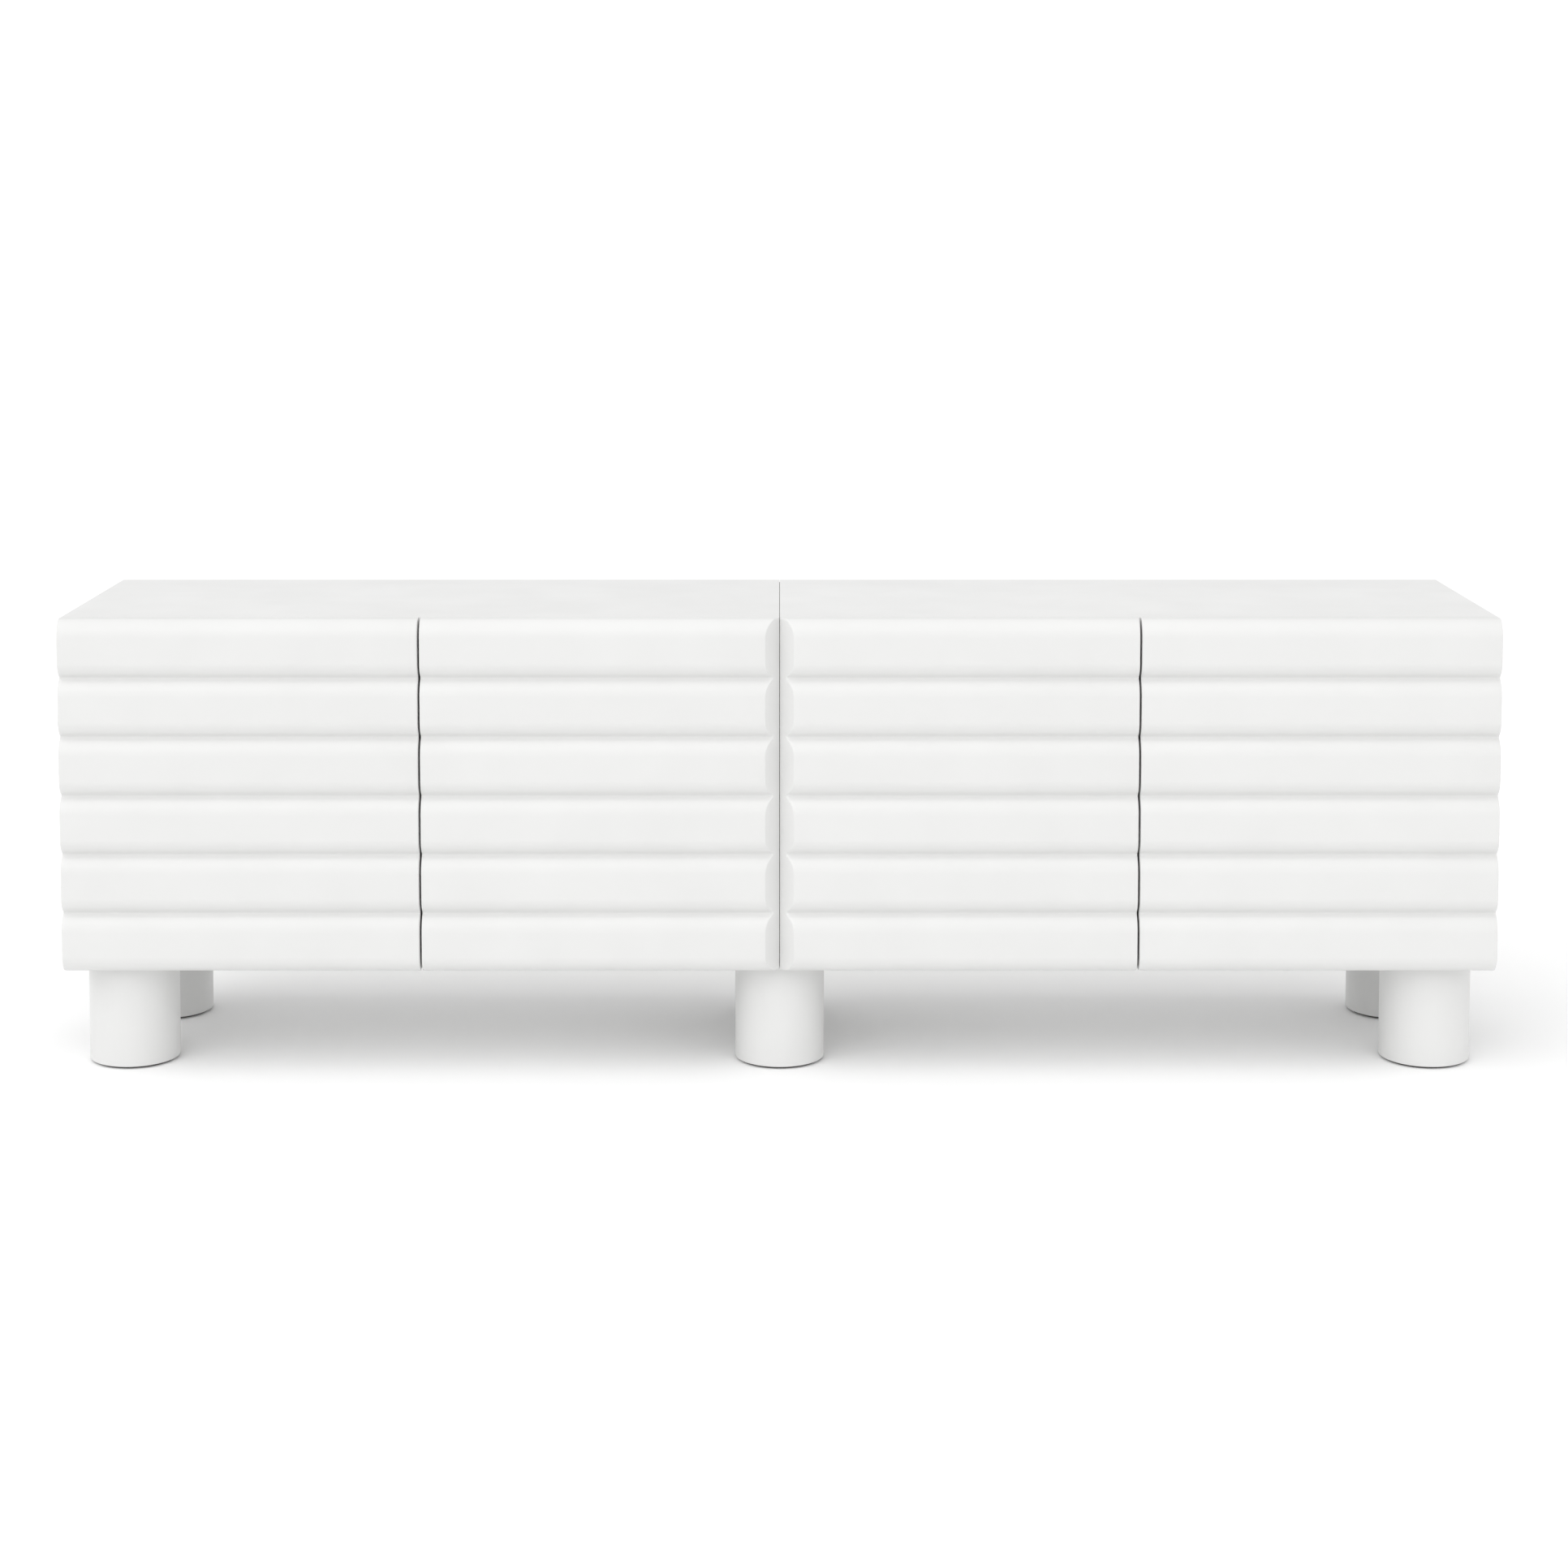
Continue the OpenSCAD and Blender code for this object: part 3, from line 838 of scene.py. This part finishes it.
def ease_node(name: str, node: str, radius: float, steps: int, finish: Finish) -> None:
    """Ease every edge of a CAD node that stands out sharply, and finish it.

    Args:
        name: Name of the piece that stands for it.
        node: The node's name.
        radius: The edges' radius.
        steps: Faces across each rounding.
        finish: Its finish.
    """

    def radius_of(edge: bmesh.types.BMEdge) -> float:
        """Radius for an edge, or 0 for one that is blunt or turns inward."""
        stands_out = len(edge.link_faces) == 2 and edge.calc_face_angle_signed(0.0) > SHARP_FROM
        return radius if stands_out else 0.0

    bm = cad_mesh(node)
    ease_edges(bm, radius_of, [radius], steps)
    make_piece(name, bm, [node], finish)


# ---------- doors ----------


@dataclass
class RibbedDoor:
    """A door of six horizontal ribs milled from one board, with its hinge cups' holes."""

    place: str
    hinge_side: HingeSide
    bevelled: bool
    rib_count: int = 6
    groove_depth: float = 13.5 * MM
    upper_height: float = 24 * MM
    lower_height: float = 20 * MM
    arc_steps: int = 12
    fillet_radius: float = 3.0 * MM
    fillet_steps: int = 6
    end_radius: float = 1.8 * MM
    back_radius: float = 0.7 * MM
    bevel_width: float = 17.7 * MM
    bevel_depth: float = 19.8 * MM
    bevel_radius: float = 2.6 * MM
    corner_steps: int = 5
    hinge_ribs: tuple[int, int] = (1, 4)
    cup_from_edge: float = 25.4 * MM
    cup_radius: float = 17.6 * MM
    cup_depth: float = 10.5 * MM
    cup_sides: int = 64
    boss_from_cup: float = 6 * MM
    boss_spacing: float = 48 * MM
    boss_radius: float = 4.1 * MM
    boss_depth: float = 7.1 * MM
    boss_sides: int = 24
    low: Vector = field(init=False)
    high: Vector = field(init=False)

    def __post_init__(self) -> None:
        """Take the door's place and size from the frame."""
        self.low, self.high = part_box(self.node)

    @property
    def node(self) -> str:
        """Name of the CAD node."""
        return f"door_{self.place}"

    @property
    def width(self) -> float:
        """Width of the door."""
        return self.high.x - self.low.x

    @property
    def thickness(self) -> float:
        """Thickness at the crown of the ribs."""
        return self.high.y - self.low.y

    @property
    def pitch(self) -> float:
        """Height of one rib."""
        return (self.high.z - self.low.z) / self.rib_count

    def at(self, across: float, deep: float, height: float) -> Vector:
        """A point from its distance to the hinge edge and the crown and its height.

        Args:
            across: Distance from the hinge edge.
            deep: Distance behind the crown.
            height: Height above the floor.

        Returns:
            The point in the row frame.
        """
        edge = self.low.x if self.hinge_side is HingeSide.LEFT else self.high.x
        return Vector((edge + self.hinge_side.value * across, self.low.y + deep, height))

    def arc_radius(self, height: float) -> float:
        """Radius of a rounding that takes the whole groove's depth in a height."""
        return (height**2 + self.groove_depth**2) / (2 * self.groove_depth)

    def groove_middle(self) -> Vector:
        """Middle of the paint's fillet in a groove, where it touches both ribs' roundings.

        Returns:
            Its height above the groove's line and its depth behind the crown.
        """
        lower, upper = self.arc_radius(self.lower_height), self.arc_radius(self.upper_height)
        places = intersect_sphere_sphere_2d(
            Vector((self.lower_height, lower)),
            lower + self.fillet_radius,
            Vector((-self.upper_height, upper)),
            upper + self.fillet_radius,
        )
        return min(places, key=lambda place: place.y)

    def rib_levels(self, from_groove: bool, to_groove: bool) -> list[tuple[float, float]]:
        """Section of one rib: a short rounding, the flat crown and a long rounding.

        Args:
            from_groove: Whether a groove lies below the rib, and not the door's lower edge.
            to_groove: Whether a groove lies above it, and then its fillet comes last.

        Returns:
            Height in the rib and depth behind the crown, from the bottom up.
        """
        middle = self.groove_middle()
        sweeps = []
        ends = ((self.lower_height, from_groove, -1), (self.upper_height, to_groove, 1))
        for height, groove, way in ends:
            radius = self.arc_radius(height)
            to_fillet = math.atan2(height + way * middle.x, radius - middle.y)
            sweeps.append(to_fillet if groove else math.asin(height / radius))
        levels = []
        for part in range(self.arc_steps, -1, -1):
            levels.append(self.on_arc(self.lower_height, sweeps[0] * part / self.arc_steps, -1))
        for part in range(self.arc_steps + 1):
            levels.append(self.on_arc(self.upper_height, sweeps[1] * part / self.arc_steps, 1))
        if to_groove:
            lower = self.arc_radius(self.lower_height)
            end = math.atan2(self.lower_height - middle.x, lower - middle.y)
            for part in range(1, self.fillet_steps):
                turn = -sweeps[1] + (sweeps[1] + end) * part / self.fillet_steps
                height = self.pitch + middle.x + self.fillet_radius * math.sin(turn)
                levels.append((height, middle.y + self.fillet_radius * math.cos(turn)))
        return levels

    def on_arc(self, height: float, angle: float, way: int) -> tuple[float, float]:
        """A point on a rib's rounding, as its height in the rib and its depth.

        Args:
            height: How high the rounding is.
            angle: Turn from the crown's edge.
            way: 1 for the rounding above the crown and -1 for the one below it.

        Returns:
            Height in the rib and depth behind the crown.
        """
        radius = self.arc_radius(height)
        edge = self.pitch - height if way > 0 else height
        return edge + way * radius * math.sin(angle), radius * (1 - math.cos(angle))

    def levels(self) -> list[tuple[float, float]]:
        """Section of the whole door.

        Returns:
            Height above the floor and depth behind the crown, from the bottom up.
        """
        levels = []
        for rib in range(self.rib_count):
            base = self.low.z + rib * self.pitch
            section = self.rib_levels(rib > 0, rib < self.rib_count - 1)
            levels += [(base + height, depth) for height, depth in section]
        return levels

    def plan(self, depth: float, shrink: float) -> list[tuple[float, float]]:
        """Outline of the door at one height, open at the back.

        Args:
            depth: How deep the front lies behind the crown there.
            shrink: How far the ends and the back draw in, at the top and bottom edges.

        Returns:
            Distances from the hinge edge and behind the crown.
        """
        back = self.thickness - shrink
        far = self.width - shrink
        middle = Vector((self.width / 2, back))
        hinge_end = [(Vector((shrink, depth)), self.end_radius)]
        if self.bevelled:
            bevel_at = self.bevel_width * (1 - depth / self.bevel_depth)
            hinge_end = [
                (Vector((shrink, self.bevel_depth)), self.back_radius),
                (Vector((shrink + bevel_at, depth)), self.bevel_radius),
            ]
        corners = [
            (middle, 0.0),
            (Vector((shrink, back)), self.back_radius),
            *hinge_end,
            (Vector((far, depth)), self.end_radius),
            (Vector((far, back)), self.back_radius),
            (middle, 0.0),
        ]
        return [(point.x, point.y) for point in rounded_outline(corners, self.corner_steps)]

    def draw_in(self, height: float) -> float:
        """How far the ends draw in at a height, to ease the top and bottom edges."""
        near = min(height - self.low.z, self.high.z - height, self.back_radius)
        return self.back_radius - math.sqrt(self.back_radius**2 - (self.back_radius - near) ** 2)

    def pockets(self) -> list[Pocket]:
        """Holes in the back for the two hinge cups and their bosses.

        Returns:
            The holes.
        """
        crown_middle = self.lower_height + (self.pitch - self.lower_height - self.upper_height) / 2
        holes = []
        for rib in self.hinge_ribs:
            height = self.low.z + rib * self.pitch + crown_middle
            centre = self.at(self.cup_from_edge, self.thickness, height)
            holes.append(Pocket(upright_circle(centre, self.cup_radius, self.cup_sides), self.cup_depth))
            for side in (-1, 1):
                away = self.cup_from_edge + self.boss_from_cup
                centre = self.at(away, self.thickness, height + side * self.boss_spacing / 2)
                outline = upright_circle(centre, self.boss_radius, self.boss_sides)
                holes.append(Pocket(outline, self.boss_depth))
        return holes

    def build(self) -> bpy.types.Object:
        """Build the door and finish it in lacquer.

        Returns:
            The piece.
        """
        bm = bmesh.new()
        rings = [
            [self.at(u, v, height) for u, v in self.plan(depth, self.draw_in(height))]
            for height, depth in self.levels()
        ]
        rows = loft(bm, rings, closed=False)
        bm.faces.new(rows[0])
        bm.faces.new(rows[-1])
        rim = [edge for edge in bm.edges if len(edge.link_faces) == 1]
        fill_with_pockets(bm, rim, self.pockets(), Vector((0, -1, 0)))
        return make_piece(f"ribbed_{self.node}", bm, [self.node], LACQUER)


# ---------- cabinets ----------


@dataclass
class Cabinet:
    """The panels of one cabinet, its shelf and its cable outlet."""

    side: str
    show_radius: float = 1.3 * MM
    joint_radius: float = 0.12 * MM
    grommet_radius: float = 0.7 * MM
    shelf_front: float = 100 * MM

    def box_edge_radius(
        self, edge: bmesh.types.BMEdge, low: Vector, high: Vector, shows: Callable[[Vector], bool]
    ) -> float:
        """Radius for an edge of a panel's outer box.

        Args:
            edge: The edge.
            low: The panel's lowest corner.
            high: Its highest corner.
            shows: Whether an edge with that middle is a free one, and not at a joint.

        Returns:
            The radius, or 0 for an edge of a hole or groove.
        """
        middle = (edge.verts[0].co + edge.verts[1].co) / 2
        sides_met = sum(min(abs(middle[i] - low[i]), abs(middle[i] - high[i])) < TOUCH for i in range(3))
        square = len(edge.link_faces) == 2 and edge.calc_face_angle(0.0) > SQUARE_FROM
        if sides_met < 2 or not square:
            return 0.0
        return self.show_radius if shows(middle) else self.joint_radius

    def panel(self, name: str, shows: Callable[[Vector], bool], finish: Finish) -> None:
        """Ease a panel's edges and finish it.

        Args:
            name: Which panel it is.
            shows: Whether an edge with that middle is a free one, and not at a joint.
            finish: Its finish.
        """
        node = f"{name}_{self.side}"
        low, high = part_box(node)
        bm = cad_mesh(node)
        ease_edges(
            bm,
            lambda edge: self.box_edge_radius(edge, low, high, shows),
            [self.show_radius, self.joint_radius],
        )
        make_piece(f"eased_{node}", bm, [node], finish)

    def build(self) -> None:
        """Build every panel of the cabinet."""
        top_low, top_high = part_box(f"top_panel_{self.side}")
        bottom_low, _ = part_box(f"bottom_panel_{self.side}")
        seam = min(abs(top_low.x), abs(top_high.x))
        top, bottom, front = top_high.z, bottom_low.z, top_low.y

        def clear_of_seam(middle: Vector) -> bool:
            """Whether a point is away from the seam between the cabinets."""
            return abs(abs(middle.x) - seam) > MM

        self.panel("top_panel", lambda m: clear_of_seam(m) and m.z > top - MM, LACQUER)
        self.panel("bottom_panel", lambda m: clear_of_seam(m) and m.z < bottom + MM, LACQUER)
        self.panel("outer_side", lambda m: False, LACQUER)
        self.panel("inner_side", lambda m: False, MELAMINE)
        self.panel("shelf", lambda m: m.y < front + self.shelf_front, MELAMINE)
        dress_node(f"back_panel_{self.side}", MELAMINE)
        grommet = f"cable_grommet_{self.side}"
        ease_node(f"soft_{grommet}", grommet, self.grommet_radius, 4, GREY_ABS)


# ---------- legs ----------


@dataclass
class TurnedLegs:
    """Six turned legs with their felt glides, plates, bolts and screws."""

    places: tuple[str, ...] = (
        "front_left",
        "front_middle",
        "front_right",
        "rear_left",
        "rear_middle",
        "rear_right",
    )
    edge_radius: float = 1.4 * MM
    edge_steps: int = 6
    plate_recess_radius: float = 40.1 * MM
    plate_recess_depth: float = 3.1 * MM
    bolt_hole_radius: float = 4.05 * MM
    bolt_hole_depth: float = 52.1 * MM
    felt_inset: float = 5 * MM
    felt_radius: float = 0.9 * MM
    felt_steps: int = 4
    sides: int = 128

    def leg(self, place: str) -> None:
        """Turn one leg, recessed on top for its plate and bolt.

        Args:
            place: Which leg it is.
        """
        node = f"leg_{place}"
        low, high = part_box(node)
        radius, height = (high.x - low.x) / 2, high.z - low.z
        outside = [
            (self.bolt_hole_radius, height - self.bolt_hole_depth),
            (self.bolt_hole_radius, height - self.plate_recess_depth),
            (self.plate_recess_radius, height - self.plate_recess_depth),
            (self.plate_recess_radius, height),
            (radius, height),
            (radius, 0.0),
            (radius / 2, 0.0),
        ]
        radii = [KEEN, KEEN, KEEN, self.edge_radius, self.edge_radius]
        foot = Matrix.Translation(((low.x + high.x) / 2, (low.y + high.y) / 2, low.z))
        bm = bmesh.new()
        lathe(bm, eased_profile(outside, radii, self.edge_steps), foot, self.sides)
        make_piece(f"turned_{node}", bm, [node], LACQUER)

    def glides(self) -> None:
        """Make the six felt glides with soft cut edges."""
        bm = bmesh.new()
        _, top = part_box("leg_glides")
        for place in self.places:
            low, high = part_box(f"leg_{place}")
            radius = (high.x - low.x) / 2 - self.felt_inset
            outside = [(radius / 2, 0.0), (radius, 0.0), (radius, top.z), (radius / 2, top.z)]
            profile = eased_profile(outside, [self.felt_radius, self.felt_radius], self.felt_steps)
            foot = Matrix.Translation(((low.x + high.x) / 2, (low.y + high.y) / 2, 0.0))
            lathe(bm, profile, foot, self.sides)
        make_piece("felt_glides", bm, ["leg_glides"], FELT)

    def build(self) -> None:
        """Build the legs and glides and finish what holds them."""
        for place in self.places:
            self.leg(place)
        self.glides()
        dress_node("leg_plates", ZINC)
        dress_node("leg_bolts", ZINC)
        dress_node("leg_plate_screws", ZINC)


# ---------- fittings ----------


@dataclass
class Fittings:
    """Hinges, latches, shelf pins, connectors and dowels, and a dark sheet of painted shade in the seam.
    """

    doors: tuple[str, ...] = ("outer_left", "inner_left", "inner_right", "outer_right")
    fine_radius: float = 0.25 * MM
    latch_radius: float = 0.6 * MM
    # Set-back and rings of the dark sheet that paints shade into the seam between the cabinets.
    sheet_inset: float = 3 * MM
    sheet_steps: int = 12
    hinge_screw: Screw = Screw(
        head_radius=3.75 * MM,
        head_height=2 * MM,
        shank_radius=2 * MM,
        drive=Drive.CROSS,
        drive_outer=2.4 * MM,
        drive_inner=0.6 * MM,
        drive_depth=1.4 * MM,
    )
    latch_screw: Screw = Screw(
        head_radius=3 * MM,
        head_height=1.6 * MM,
        shank_radius=1.5 * MM,
        drive=Drive.CROSS,
        drive_outer=1.9 * MM,
        drive_inner=0.5 * MM,
        drive_depth=1.1 * MM,
    )
    sleeve_bolt: Screw = Screw(
        head_radius=7 * MM,
        head_height=2.5 * MM,
        shank_radius=3 * MM,
        drive=Drive.HEXAGON,
        drive_outer=2.3 * MM,
        drive_inner=2.3 * MM,
        drive_depth=2 * MM,
        both_ends=True,
    )

    def screws(self, node: str, screw: Screw, axis: int, finish: Finish) -> None:
        """Make each screw of a set where the frame has it, with its head inside the cabinet.

        Args:
            node: The CAD node of the set.
            screw: What they are like.
            axis: Which axis they lie along.
            finish: Their finish.
        """
        bm = bmesh.new()
        for low, high in loose_boxes(node):
            ends = [(low + high) / 2, (low + high) / 2]
            ends[0][axis], ends[1][axis] = low[axis], high[axis]
            inside = Vector((math.copysign(CAD_BOX[1].x / 2, low.x), 0, CAD_BOX[1].z / 2))
            head, tip = sorted(ends, key=lambda end: (end - inside).length)
            screw.stand(bm, head, tip)
        make_piece(f"driven_{node}", bm, [node], finish)

    def eased(self, node: str, radius: float, finish: Finish) -> None:
        """Ease every outer edge of a small fitting and finish it."""
        ease_node(f"eased_{node}", node, radius, 2, finish)

    def darken_seam(self) -> None:
        """Lay a thin dark felt sheet in the seam between the cabinets, set back from the front, back and
        top, as painted shade that darkens the seam.
        """
        left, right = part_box("inner_side_left"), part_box("inner_side_right")
        low = Vector((left[1].x, left[0].y + self.sheet_inset, left[0].z))
        high = Vector((right[0].x, right[1].y - self.sheet_inset, CAD_BOX[1].z - self.sheet_inset))
        bm = bmesh.new()
        corners = ((low.x, low.y), (high.x, low.y), (high.x, high.y), (low.x, high.y))
        heights = [low.z + (high.z - low.z) * i / self.sheet_steps for i in range(self.sheet_steps + 1)]
        rings = [[Vector((x, y, height)) for x, y in corners] for height in heights]
        rows = loft(bm, rings, closed=True)
        bm.faces.new(rows[0])
        bm.faces.new(rows[-1])
        # The sheet is dark felt put in the seam only to darken it: painted shade.
        seam_darkener = make_piece("painted_seam_shade_sheet", bm, [], FELT, "cabinet")

    def build(self) -> None:
        """Build and finish all fittings."""
        self.darken_seam()
        self.eased("hinge_plates", self.fine_radius, NICKEL)
        self.eased("hinge_arms", self.fine_radius, NICKEL)
        dress_node("hinge_arm_pins", DARK_STEEL)
        self.screws("hinge_screws", self.hinge_screw, 0, DARK_STEEL)
        self.eased("latch_housings", self.latch_radius, GREY_ABS)
        self.screws("latch_screws", self.latch_screw, 2, DARK_STEEL)
        self.eased("shelf_pins", self.fine_radius, NICKEL)
        self.screws("cabinet_connectors", self.sleeve_bolt, 0, NICKEL)
        dress_node("panel_dowels", BEECH)
        for door in self.doors:
            dress_node(f"hinge_cups_{door}", NICKEL)
            dress_node(f"hinge_cup_pins_{door}", DARK_STEEL)
            dress_node(f"hinge_links_{door}", NICKEL)
            self.eased(f"strike_plate_{door}", self.fine_radius, ZINC)
            self.eased(f"latch_plunger_{door}", self.latch_radius, WHITE_ABS)


# ---------- studio ----------


@dataclass
class Studio:
    """A pale floor, soft white light and the camera."""

    floor_size: float = 40.0
    floor_colour: str = "#FCFCFC"
    floor_roughness: float = 0.9
    wall_light: float = 1.12
    ceiling_light: float = 0.59
    wall_top: float = math.sin(math.radians(20))
    ceiling_from: float = math.sin(math.radians(45))
    key_strength: float = 1.4
    key_spread: float = math.radians(70)
    key_from: tuple[float, float, float] = (-0.25, -0.53, 1.0)
    camera_back: float = 3.603
    camera_height: float = 1.1156
    lens: float = 67.11
    shift_x: float = 0.0028
    shift_y: float = -0.24
    pitch: float = math.radians(4.302)

    def floor(self) -> None:
        """Lay the floor, with a matt coat of paint."""
        bm = bmesh.new()
        bmesh.ops.create_grid(bm, x_segments=1, y_segments=1, size=self.floor_size / 2)
        mesh = bpy.data.meshes.new("studio_floor")
        bm.to_mesh(mesh)
        bm.free()
        material = bpy.data.materials.new("studio_floor_paint")
        material.use_nodes = True
        shader = material.node_tree.nodes["Principled BSDF"]
        shader.inputs["Base Color"].default_value = linear(self.floor_colour)
        shader.inputs["Roughness"].default_value = self.floor_roughness
        mesh.materials.append(material)
        floor = bpy.data.objects.new("studio_floor", mesh)
        bpy.context.scene.collection.objects.link(floor)

    def light(self) -> None:
        """Light from white walls and a dimmer ceiling, and softly from the upper left in front."""
        world = bpy.data.worlds.new("studio_sky")
        world.use_nodes = True
        bpy.context.scene.world = world
        tree = world.node_tree
        way = add_node(tree, "ShaderNodeTexCoord").outputs["Generated"]
        height = add_node(tree, "ShaderNodeSeparateXYZ", Vector=way).outputs["Z"]
        bands = {"From_Min": self.wall_top, "From_Max": self.ceiling_from}
        bands |= {"To_Min": self.wall_light, "To_Max": self.ceiling_light}
        light = add_node(tree, "ShaderNodeMapRange", Value=height, **bands).outputs["Result"]
        tree.nodes["Background"].inputs["Color"].default_value = (1.0, 1.0, 1.0, 1.0)
        tree.links.new(light, tree.nodes["Background"].inputs["Strength"])
        key = bpy.data.lights.new("key_light", "SUN")
        key.angle = self.key_spread
        key.energy = self.key_strength
        lamp = bpy.data.objects.new("key_light", key)
        lamp.location = self.key_from
        lamp.rotation_euler = Vector(self.key_from).to_track_quat("Z", "Y").to_euler()
        bpy.context.scene.collection.objects.link(lamp)

    def camera(self) -> None:
        """Stand the camera in front, a little above and looking slightly down."""
        data = bpy.data.cameras.new("studio_camera")
        data.lens = self.lens
        data.shift_x, data.shift_y = self.shift_x, self.shift_y
        data.dof.use_dof = False
        camera = bpy.data.objects.new("studio_camera", data)
        camera.location = (0.0, CAD_BOX[0].y - self.camera_back, self.camera_height)
        camera.rotation_euler = (math.pi / 2 - self.pitch, 0.0, 0.0)
        bpy.context.scene.collection.objects.link(camera)
        bpy.context.scene.camera = camera

    def build(self) -> None:
        """Build the studio."""
        self.floor()
        self.light()
        self.camera()
        bpy.context.scene.view_settings.view_transform = "Standard"


def main() -> None:
    """Build the studio and every sub-assembly in order."""
    logging.basicConfig(level=logging.INFO, format="%(name)s: %(message)s")
    Studio().build()
    for side in ("left", "right"):
        Cabinet(side).build()
    TurnedLegs().build()
    RibbedDoor("outer_left", HingeSide.LEFT, bevelled=False).build()
    RibbedDoor("inner_left", HingeSide.RIGHT, bevelled=True).build()
    RibbedDoor("inner_right", HingeSide.LEFT, bevelled=True).build()
    RibbedDoor("outer_right", HingeSide.RIGHT, bevelled=False).build()
    Fittings().build()


if __name__ == "__main__":
    main()
